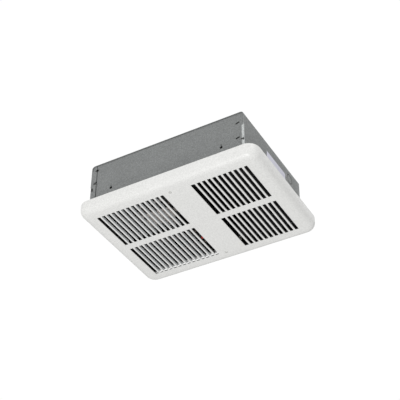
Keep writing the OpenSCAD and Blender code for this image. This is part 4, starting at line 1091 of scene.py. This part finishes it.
@dataclass
class Motor:
    """The shaded-pole motor on its bar over the fan."""

    x: float = -103.1
    core_z: tuple[float, float] = (63.5, 85.5)
    coil_mid: tuple[float, float] = (-51.0, 74.5)
    coil_half: tuple[float, float] = (13.5, 17.5)
    limb_half: tuple[float, float] = (7.0, 11.0)
    coil_x: float = 15.5
    bush_z: tuple[float, ...] = (52.5, 87.5)
    bolt_x: float = 24.0
    nut_z: float = 48.5
    head_z: float = 96.5
    bridge_z: float = 52.5
    bridge_screw: tuple[float, float] = (18.0, 102.0)
    bobbin_wall: float = 1.6
    winding_gap: float = 0.9
    turns: int = 9

    def build_rotor(self) -> None:
        """Makes the shaft and the cage rotor, which turn with the fan."""
        form = Form()
        form.lathe([(0, 28.5), (2.5, 28.5), (3.0, 29.0), (3.0, 51.5), (2.7, 51.6), (2.7, 52.1), (3.0, 52.2),
            (3.0, 97.2), (2.7, 97.3), (2.7, 97.7), (3.0, 97.8), (3.0, 98.1), (2.6, 98.5), (0, 98.5)],
            (self.x, 0, 0), sides=40)
        Piece("ground_shaft", Coats.ZINC, ("motor_shaft",), "rotor").make(form)
        low, high = self.core_z[0] + 0.5, self.core_z[1] - 0.5
        ring = [(3.05, low + 2.0), (8.0, low + 2.0), (8.0, low + 0.3), (8.3, low), (13.9, low),
            (14.2, low + 0.3), (14.2, low + 2.8), (15.0, low + 2.8)]
        form = Form()
        form.lathe(mirrored(ring, (low + high) / 2), (self.x, 0, 0), sides=72)
        Piece("cage_rotor", Coats.ROTOR, ("motor_rotor",), "rotor").make(form)

    def rounded_frame(self, form: Form, half: tuple[float, float], round_r: float, x0: float,
        x1: float) -> None:
        """Adds a rounded frame round the core's limb.

        Args:
            form: The shape.
            half: Half sizes of its outside across and up.
            round_r: Radius of its outside corners.
            x0: Where it starts along X.
            x1: Where it ends.
        """
        before = set(form.bm.verts)
        loops: list[BMEdge] = []
        for size, radius in ((half, round_r), (self.limb_half, 0.8)):
            verts = bmesh.ops.create_grid(form.bm, x_segments=1, y_segments=1, size=1.0)["verts"]
            bmesh.ops.scale(form.bm, vec=(*size, 1.0), verts=verts)
            known = set(form.bm.edges) - {e for v in verts for e in v.link_edges}
            form.bevelled(verts, radius, 5, corners=True)
            edges = [e for e in form.bm.edges if e not in known]
            faces = list({f for e in edges for f in e.link_faces})
            bmesh.ops.delete(form.bm, geom=faces, context="FACES_ONLY")
            loops += edges
        faces = bmesh.ops.bridge_loops(form.bm, edges=loops)["faces"]
        made = bmesh.ops.extrude_face_region(form.bm, geom=faces)
        form.moved(only(BMVert, made["geom"]), (0, 0, x1 - x0))
        new = form.added(before)
        form.face_out(new)
        upright = Matrix(((0, 0, 1), (1, 0, 0), (0, 1, 0))).to_4x4()
        form.placed(new, Matrix.Translation((self.x + x0, *self.coil_mid)) @ upright)

    def build_stator(self) -> None:
        """Makes the laminated core, the bobbin and its taped winding."""
        pressed("motor_core", Coats.CORE, 0.35)
        inside = self.coil_x - self.bobbin_wall
        form = Form()
        for x0, x1 in ((-self.coil_x, -inside), (inside, self.coil_x)):
            self.rounded_frame(form, self.coil_half, 2.0, x0, x1)
        form.soften(0.3, 2, 50)
        Piece("bobbin_flanges", Coats.NYLON).make(form)
        form = Form()
        full = (self.coil_half[0] - self.winding_gap, self.coil_half[1] - self.winding_gap)
        step = 2 * inside / self.turns
        for number in range(self.turns):
            start = number * step - inside
            self.rounded_frame(form, full, 5.0, start, start + step)
        form.soften(0.35, 2, 60)
        Piece("taped_winding", Coats.TAPE, ("motor_coil",)).make(form)

    def build_bearings(self) -> None:
        """Makes the two cast frames and their bushes."""
        pressed("motor_frames", Coats.DIE_CAST, 0.7, steps=3)
        form = Form()
        bush = mirrored([(3.06, 0.3), (3.4, 0.0), (5.1, 0.0), (5.5, 0.4)], 4.5)
        for low in self.bush_z:
            form.lathe(bush, (self.x, 0, low), sides=40)
        Piece("oil_soaked_bushes", Coats.BRONZE, ("motor_bushes",)).make(form)

    def build_bolts(self) -> None:
        """Makes the two through bolts with their heads, nuts and threads."""
        form = Form()
        top = self.head_z + 0.4
        bolt = [(0, 48.9), (1.5, 48.9), *ridges(1.66, 1.9, 49.2, 0.35, 30), (1.9, 60.0), (1.9, top), (0, top)]
        for x in (self.x - self.bolt_x, self.x + self.bolt_x):
            form.lathe(bolt, (x, 0, 0), sides=24)
            form.rod((x, 0, self.nut_z), 4.0, 2.5, 6)
            form.rod((x, 0, self.head_z + 0.5), 3.4, 2.0, 6)
            form.lathe([(0, 0), (3.3, 0), (3.4, 0.1), (3.4, 0.5), (0, 0.5)], (x, 0, self.head_z), sides=24)
        form.soften(0.25, 2, 50, [e for e in form.bm.edges if e.calc_length() > 1.2])
        Piece("through_bolts", Coats.ZINC, ("motor_bolts",)).make(form)

    def build_bridge(self) -> None:
        """Makes the bar that carries the motor and its four screws."""
        pressed("motor_bridge", Coats.GALVANISED, 0.4)
        form = Form()
        screw = Screw(3.0, 2.0, 1.5, 6.7, -1, 0.6)
        across, along = self.bridge_screw
        for number, (sx, sy) in enumerate(((-1, -1), (1, -1), (1, 1), (-1, 1))):
            screw.add(form, (self.x + sx * across, sy * along, self.bridge_z), 20.0 + 37.0 * number)
        Piece("bridge_pan_screws", Coats.ZINC, ("bridge_screws",)).make(form)

    def build(self) -> None:
        """Makes the motor and what carries it."""
        self.build_rotor()
        self.build_stator()
        self.build_bearings()
        self.build_bolts()
        self.build_bridge()


# ---------- heating elements ----------


@dataclass
class Elements:
    """Two finned tubular elements, one beside each half of the fan, with all that holds and feeds them."""

    bend_x: float = -150.45
    bend_r: float = 23.5
    mid_y: float = 84.5
    z: float = 5.0
    end_x: float = -0.75
    sheath_r: float = 4.0
    fin_r: float = 9.5
    fin_t: float = 0.6
    fin_pitch: float = 7.0
    straight: float = 133.7
    bracket_xs: tuple[float, ...] = (-138.45, -24.75)
    bracket_gap: float = 4.0
    insulator: float = 6.0

    def passes(self) -> list[float]:
        """Gives where the straight passes lie across the heater."""
        return [side * self.mid_y + way * self.bend_r for side in (-1, 1) for way in (-1, 1)]

    def build_sheaths(self) -> None:
        """Sweeps each sheath down one pass, round its bend and back."""
        form = Form()
        run = self.bend_x - self.end_x
        for side in (-1, 1):
            start = (self.end_x, side * self.mid_y - self.bend_r, self.z)
            place = Matrix.Translation(start) @ Axis.X.turn()
            before = set(form.bm.verts)
            ring = bmesh.ops.create_circle(form.bm, cap_ends=False, segments=24, radius=self.sheath_r,
                matrix=place)
            edges = list({e for v in ring["verts"] for e in v.link_edges})
            edges = self.drawn(form, edges, (run, 0, 0))
            made = bmesh.ops.spin(form.bm, geom=[*edges, *{v for e in edges for v in e.verts}],
                cent=(self.bend_x, side * self.mid_y, self.z), axis=(0, 0, -1), angle=math.pi, steps=32)
            self.drawn(form, only(BMEdge, made["geom_last"]), (-run, 0, 0))
            bmesh.ops.holes_fill(form.bm, edges=[e for e in form.bm.edges if e.is_boundary], sides=0)
            form.face_out(form.added(before))
        form.soften(0.4, 2, 60)
        Piece("u_bent_sheaths", Coats.SHEATH, ("element_sheaths",)).make(form)

    def drawn(self, form: Form, edges: list[BMEdge], by: Point) -> list[BMEdge]:
        """Draws a loop of edges out.

        Args:
            form: The shape.
            edges: The loop.
            by: How far.

        Returns:
            The loop at the far end.
        """
        made = bmesh.ops.extrude_edge_only(form.bm, edges=edges)["geom"]
        form.moved(only(BMVert, made), by)
        return [e for e in only(BMEdge, made) if all(v in made for v in e.verts)]

    def add_fin(self, form: Form, place: Matrix) -> None:
        """Adds one crimped fin: a collar on the sheath and a thin round plate.

        Args:
            form: The shape.
            place: Moves a fin whose axis is Z to its place.
        """
        collar, tube, half = self.sheath_r + 0.7, self.sheath_r + 0.1, self.fin_t / 2
        verts = form.lathe([(tube, -1.2), (collar, -1.2), (collar, -half), (self.fin_r, -half * 0.6),
            (self.fin_r, half * 0.6), (collar, half), (tube, half)], (0, 0, 0), sides=20)
        form.placed(verts, place)

    def build_fins(self) -> None:
        """Makes the fins along the passes and round the bends."""
        form = Form()
        for number in range(1, int(self.straight / self.fin_pitch) + 1):
            x = self.bend_x + number * self.fin_pitch
            if min(abs(x - at) for at in self.bracket_xs) <= self.bracket_gap:
                continue
            for y in self.passes():
                self.add_fin(form, Matrix.Translation((x, y, self.z)) @ Axis.X.turn())
        turns = math.floor(math.pi * (self.bend_r - self.fin_r * 0.4) / self.fin_pitch)
        for side in (-1, 1):
            middle = Matrix.Translation((self.bend_x, side * self.mid_y, self.z))
            for number in range(turns + 1):
                turn = Matrix.Rotation(math.radians(90.0 + 180.0 * number / turns), 4, "Z")
                self.add_fin(form, middle @ turn @ Matrix.Translation((self.bend_r, 0, 0)) @ Axis.Y.turn())
        Piece("crimped_fins", Coats.FINS, ("element_fins",)).make(form)

    def build_ends(self) -> None:
        """Makes the glands, the ribbed insulators and the threaded studs."""
        pressed("element_glands", Coats.BRASS, 0.5, steps=3)
        ribs = [(0, 0), (2.9, 0), (3.2, 0.3), (3.2, 1.5), (2.5, 1.9), (2.5, 2.5), (3.2, 2.9), (3.2, 4.1),
            (2.5, 4.6), (2.2, 5.7), (1.9, 6.0), (0, 6.0)]
        insulators, studs = Form(), Form()
        thread = ridges(1.38, 1.6, 1.4, 0.25, 20)
        for y in self.passes():
            insulators.lathe(ribs, (self.end_x, y, self.z), Axis.X, 32)
            studs.lathe([(0, 0), (1.6, 0), (1.6, 1.1), (1.38, 1.3), *thread, (1.1, 7.0), (0, 7.0)],
                (self.end_x + self.insulator, y, self.z), Axis.X, 20)
        Piece("ribbed_insulators", Coats.GLAZE, ("terminal_insulators",)).make(insulators)
        Piece("threaded_studs", Coats.ZINC, ("terminal_pins",)).make(studs)

    def build(self) -> None:
        """Makes the elements and what holds them."""
        self.build_sheaths()
        self.build_fins()
        pressed("element_brackets", Coats.SHADE_DARKENED_SHIELD)
        self.build_ends()


# ---------- controls ----------


@dataclass
class Controls:
    """The cut-out and its button, the delay switch, the thermostat and the terminal block."""

    button: tuple[float, float] = (-38.75, 87.0)
    cutout_z: float = 3.0
    delay: Point = (-170.8, 104.3, 50.0)
    stat: tuple[float, float] = (46.35, 112.8)
    stat_z: tuple[float, float] = (-4.0, 18.0)
    stat_half: tuple[float, float] = (17.0, 14.0)
    wall_x: float = -8.75
    block_y0: float = -90.0
    poles: int = 4
    pole_gap: float = 15.0
    pole_z: float = 27.0
    earth_y: float = 60.0

    def build_cutout(self) -> None:
        """Makes the overheat cut-out with its tabs, its bracket and the red button."""
        x, y = self.button
        form = Form()
        form.lathe([(0, 4.5), (3.1, 4.5), (3.1, 0.3), (3.4, 0), (5.0, 0), (5.3, 0.3), (5.3, 1.4), (8.5, 1.4),
            (9.0, 1.9), (9.0, 10.9), (8.5, 11.4), (8.5, 13.0), (0, 13.0)], (x, y, self.cutout_z), sides=56)
        for side in (-1, 1):
            mid = y + side * 5
            form.block((x + 7.5, mid - 1.5, 13.6), (x + 14.0, mid + 1.5, 14.4))
        form.soften(0.2, 2, 50)
        Piece("cutout_case", Coats.PHENOLIC, ("cutout_body",)).make(form)
        pressed("cutout_bracket", Coats.ALUMINISED)
        form = Form()
        form.lathe([(0, -0.55), (1.3, -0.65), (2.1, -0.95), (2.5, -1.0), (2.75, -0.85), (2.8, -0.55),
            (2.8, 3.6), (2.6, 3.7), (2.6, 4.2), (2.8, 4.3), (2.8, 5.2), (2.5, 5.5), (0, 5.5)], (x, y, 0),
            sides=40)
        Piece("red_reset_button", Coats.RED, ("reset_button",), "reset_button").make(form)

    def build_delay(self) -> None:
        """Makes the fan delay switch: a flanged cap, a case and two tabs."""
        x, y, z = self.delay
        form = Form()
        form.lathe([(0, 0), (10.7, 0), (11, 0.2), (11, 0.8), (10.7, 1.0), (8.6, 1.0), (8.0, 1.5), (8.0, 8.3),
            (7.4, 9.0), (0, 9.0)], (x, y, z), sides=56)
        for side in (-1, 1):
            form.block((x + side * 4 - 0.4, y - 3, z + 8.9), (x + side * 4 + 0.4, y + 3, z + 15))
            form.block((x + side * 4 - 1.2, y - 3.6, z + 8.8), (x + side * 4 + 1.2, y + 3.6, z + 9.6))
        form.soften(0.2, 2, 50)
        Piece("delay_switch_case", Coats.PHENOLIC, ("fan_delay_switch",)).make(form)

    def build_thermostat(self) -> None:
        """Makes the thermostat's case with its rivets and neck, its spindle and its bracket."""
        x, y = self.stat
        low, high = self.stat_z
        wide, deep = self.stat_half
        form = Form()
        form.block((x - wide, y - deep, low + 3.0), (x + wide, y + deep, high))
        form.soften(1.2, 3)
        form.block((x - wide + 0.4, y - deep + 0.4, low), (x + wide - 0.4, y + deep - 0.4, low + 3.2))
        form.soften(0.5, 2, 50, [e for e in form.bm.edges if min(v.co.z for v in e.verts) < low + 0.1])
        form.lathe([(3.08, 1.0), (3.08, -4.8), (3.3, -5.0), (4.7, -5.0), (5.0, -4.7), (5.0, 0.0), (6.2, 0.0),
            (6.2, 1.0)], (x, y, low), sides=40)
        for sx in (-1, 1):
            for sy in (-1, 1):
                form.lathe([(0, 0.5), (2.0, 0.5), (2.0, -0.05), (1.6, -0.5), (0.6, -0.75), (0, -0.78)],
                    (x + sx * (wide - 4), y + sy * (deep - 4), low), sides=20)
        Piece("thermostat_case", Coats.PHENOLIC, ("thermostat_body",)).make(form)
        pressed("thermostat_spindle", Coats.NYLON, 0.2, "thermostat_spindle")
        pressed("thermostat_bracket", Coats.BLACK_ENAMEL)

    def build_terminals(self) -> None:
        """Makes the terminal block, its screws and the earth screw."""
        pressed("terminal_block", Coats.PHENOLIC, 0.7, steps=3)
        screws = Form()
        for number in range(self.poles):
            before = set(screws.bm.verts)
            Screw(3.0, 2.2, 1.7, 5.8, -1, 0.6).add(screws, (0, 0, 5.8), 15.0 + 40.0 * number)
            at = (self.wall_x + 8.0, self.block_y0 + (number + 0.5) * self.pole_gap, self.pole_z)
            screws.placed(screws.added(before), Matrix.Translation(at) @ Axis.X.turn())
        Piece("terminal_clamp_screws", Coats.BRASS, ("terminal_screws",)).make(screws)
        form = Form()
        form.rod((0, 0, 0.8), 4.5, 2.2, 6)
        form.soften(0.35)
        form.lathe(mirrored([(0, 0), (4.3, 0), (4.45, 0.15)], 0.425), (0, 0, 0), sides=32)
        form.slotted((0, 0, 3.0), 0.5, 3.0, -1.2, 20.0)
        at = (self.wall_x, self.earth_y, self.pole_z)
        form.placed(form.bm.verts, Matrix.Translation(at) @ Axis.X.turn())
        Piece("green_earth_screw", Coats.EARTH, ("earth_screw",)).make(form)

    def build(self) -> None:
        """Makes the controls."""
        self.build_cutout()
        self.build_delay()
        self.build_thermostat()
        self.build_terminals()


# ---------- leads ----------


@dataclass
class Loom:
    """The short sleeved leads inside, which are fixed at both ends."""

    radius: float = 1.3
    bend: float = 7.0

    def rounded(self, points: Sequence[Point]) -> list[Vector]:
        """Rounds the corners of a route.

        Args:
            points: The route's corners.

        Returns:
            The points that the lead follows.
        """
        places = [Vector(p) for p in points]
        route = [places[0]]
        for before, here, after in zip(places, places[1:], places[2:]):
            reach = min(self.bend, (before - here).length * 0.48, (after - here).length * 0.48)
            start = here + (before - here).normalized() * reach
            end = here + (after - here).normalized() * reach
            for step in range(7):
                share = step / 6
                route.append(start.lerp(here, share).lerp(here.lerp(end, share), share))
        return [*route, places[-1]]

    def add(self, form: Form, points: Sequence[Point]) -> None:
        """Adds one lead to a shape, as the mesh of a round curve.

        Args:
            form: The shape.
            points: The route's corners.
        """
        route = self.rounded(points)
        curve = bpy.data.curves.new("lead_route", "CURVE")
        curve.dimensions, curve.bevel_depth, curve.bevel_resolution = "3D", self.radius, 3
        curve.use_fill_caps = True
        spline = curve.splines.new("POLY")
        spline.points.add(len(route) - 1)
        for point, place in zip(spline.points, route):
            point.co = (*place, 1.0)
        holder = bpy.data.objects.new("lead_route", curve)
        mesh = bpy.data.meshes.new_from_object(holder)
        known = set(form.bm.verts)
        form.bm.from_mesh(mesh)
        bmesh.ops.remove_doubles(form.bm, verts=form.added(known), dist=WELD)
        bpy.data.meshes.remove(mesh)
        bpy.data.objects.remove(holder)
        bpy.data.curves.remove(curve)

    def build(self) -> None:
        """Makes the three groups of leads."""
        routes = {
            "motor_leads": [
                [(-108.1, -64.5, 81.5), (-108.1, -82.5, 81.5), (3.25, -82.5, 81.5), (3.25, -82.5, 36.0)],
                [(-98.1, -64.5, 81.5), (-98.1, -67.5, 81.5), (3.25, -67.5, 81.5), (3.25, -67.5, 36.0)],
            ],
            "element_leads": [
                [(12.25, -108, 5), (20.25, -108, 5), (20.25, -52.5, 23), (11.25, -52.5, 23)],
                [(12.25, 108, 5), (26.25, 108, 5), (26.25, -37.5, 23), (11.25, -37.5, 23)],
                [(12.25, -61, 5), (20.25, -61, 5), (20.25, 61, 5), (12.25, 61, 5)],
            ],
            "control_leads": [
                [(-24.75, 92, 14), (21.35, 92, 14), (21.35, 106.8, 14), (29.35, 106.8, 14)],
                [(-24.75, 82, 14), (1.25, 82, 14), (1.25, 62, 24), (1.25, -30, 24)],
                [(40.35, 98.8, 10), (40.35, -37, 10), (40.35, -37, 44), (1.25, -37, 44), (1.25, -37, 36)],
                [(-166.8, 104.3, 65), (-166.8, 104.3, 76.5), (-166.8, -61.5, 76.5), (-118.6, -61.5, 76.5)],
                [(-174.8, 104.3, 65), (-174.8, 104.3, 73), (-174.8, -98, 73), (1.25, -98, 73),
                    (1.25, -98, 27), (1.25, -90, 27)],
            ],
        }
        for node, group in routes.items():
            form = Form()
            for route in group:
                self.add(form, route)
            Piece(f"sleeved_{node}", Coats.SLEEVE, (node,)).make(form)


# ---------- studio ----------


@dataclass
class Studio:
    """The camera of the photograph, a pale floor below it and soft light all round."""

    position: Point = (0.940286, -1.625952, -1.435165)
    right: Point = (0.869362, 0.494118, 0.007516)
    down: Point = (-0.299764, 0.539381, -0.786899)
    forward: Point = (-0.392875, 0.681847, 0.617036)
    focal_px: float = 1039.48
    image_px: float = 400.0
    floor_z: float = -3.0
    bright_way: Point = (0.0, -0.3, 1.0)
    horizon: tuple[float, float, float, float] = (-0.15, 0.2, 0.4, 1.02)
    sensor: float = 36.0
    floor_grey: float = 0.62
    lamps: tuple[tuple[str, Point, Point, float, float], ...] = (
        ("low_softbox", (0.1, -1.55, -2.5), (0.0, 0.0, 0.0), 1.1, 42.0),
        ("corner_softbox", (1.5, -0.8, 1.4), (0.19, -0.14, 0.05), 0.5, 7.0),
    )

    def build_camera(self) -> None:
        """Makes the camera at the photograph's place."""
        data = bpy.data.cameras.new("photo_camera")
        data.sensor_width, data.lens = self.sensor, self.focal_px * self.sensor / self.image_px
        data.clip_start, data.clip_end = 0.05, 60.0
        camera = bpy.data.objects.new("photo_camera", data)
        turn = Matrix((self.right, [-v for v in self.down], [-v for v in self.forward])).transposed()
        camera.matrix_world = Matrix.Translation(self.position) @ turn.to_4x4()
        bpy.context.scene.collection.objects.link(camera)
        bpy.context.scene.camera = camera

    def build_floor(self) -> None:
        """Makes the pale floor."""
        bm = bmesh.new()
        bmesh.ops.create_grid(bm, x_segments=8, y_segments=8, size=9.0)
        bmesh.ops.translate(bm, verts=bm.verts, vec=(0, 0, self.floor_z))
        mesh = bpy.data.meshes.new("pale_floor")
        bm.to_mesh(mesh)
        bm.free()
        material = bpy.data.materials.new("pale_floor")
        material.use_nodes = True
        shader = material.node_tree.nodes["Principled BSDF"].inputs
        shader["Base Color"].default_value = (*[self.floor_grey] * 3, 1.0)
        shader["Roughness"].default_value = 0.9
        mesh.materials.append(material)
        floor = bpy.data.objects.new("pale_floor", mesh)
        bpy.context.scene.collection.objects.link(floor)

    def lamp(self, name: str, place: Point, aim: Point, size: float, power: float) -> None:
        """Adds a soft square lamp.

        Args:
            name: Its name.
            place: Where it hangs.
            aim: The point it looks at.
            size: Side of the square.
            power: Watts.
        """
        data = bpy.data.lights.new(name, "AREA")
        data.shape, data.size, data.energy = "SQUARE", size, power
        made = bpy.data.objects.new(name, data)
        made.location = place
        made.rotation_mode = "QUATERNION"
        made.rotation_quaternion = (Vector(aim) - Vector(place)).to_track_quat("-Z", "Y")
        bpy.context.scene.collection.objects.link(made)

    def build_light(self) -> None:
        """Makes the white surround and the lamps."""
        world = bpy.data.worlds.new("white_surround")
        bpy.context.scene.world = world
        world.use_nodes = True
        sheet = world.node_tree
        back = sheet.nodes["Background"].inputs
        back["Color"].default_value = (1, 1, 1, 1)
        way = sheet.nodes.new("ShaderNodeTexCoord")
        lean = sheet.nodes.new("ShaderNodeVectorMath")
        lean.operation = "DOT_PRODUCT"
        lean.inputs[1].default_value = self.bright_way
        rise = sheet.nodes.new("ShaderNodeMapRange")
        for name, value in zip(("From Min", "From Max", "To Min", "To Max"), self.horizon):
            rise.inputs[name].default_value = value
        sheet.links.new(way.outputs["Generated"], lean.inputs[0])
        sheet.links.new(lean.outputs["Value"], rise.inputs["Value"])
        sheet.links.new(rise.outputs["Result"], back["Strength"])
        for lamp in self.lamps:
            self.lamp(*lamp)
        view = bpy.context.scene.view_settings
        view.view_transform, view.look, view.exposure, view.gamma = "Standard", "None", 0.0, 1.0

    def build(self) -> None:
        """Makes the studio."""
        self.build_camera()
        self.build_floor()
        self.build_light()


def main() -> None:
    logging.basicConfig(level=logging.INFO, format="%(name)s: %(message)s", stream=sys.stdout)
    for part in (Studio, LouvredCover, RecessBox, HeatingZone, Fan, Motor, Elements, Controls, Loom):
        part().build()


if __name__ == "__main__":
    main()
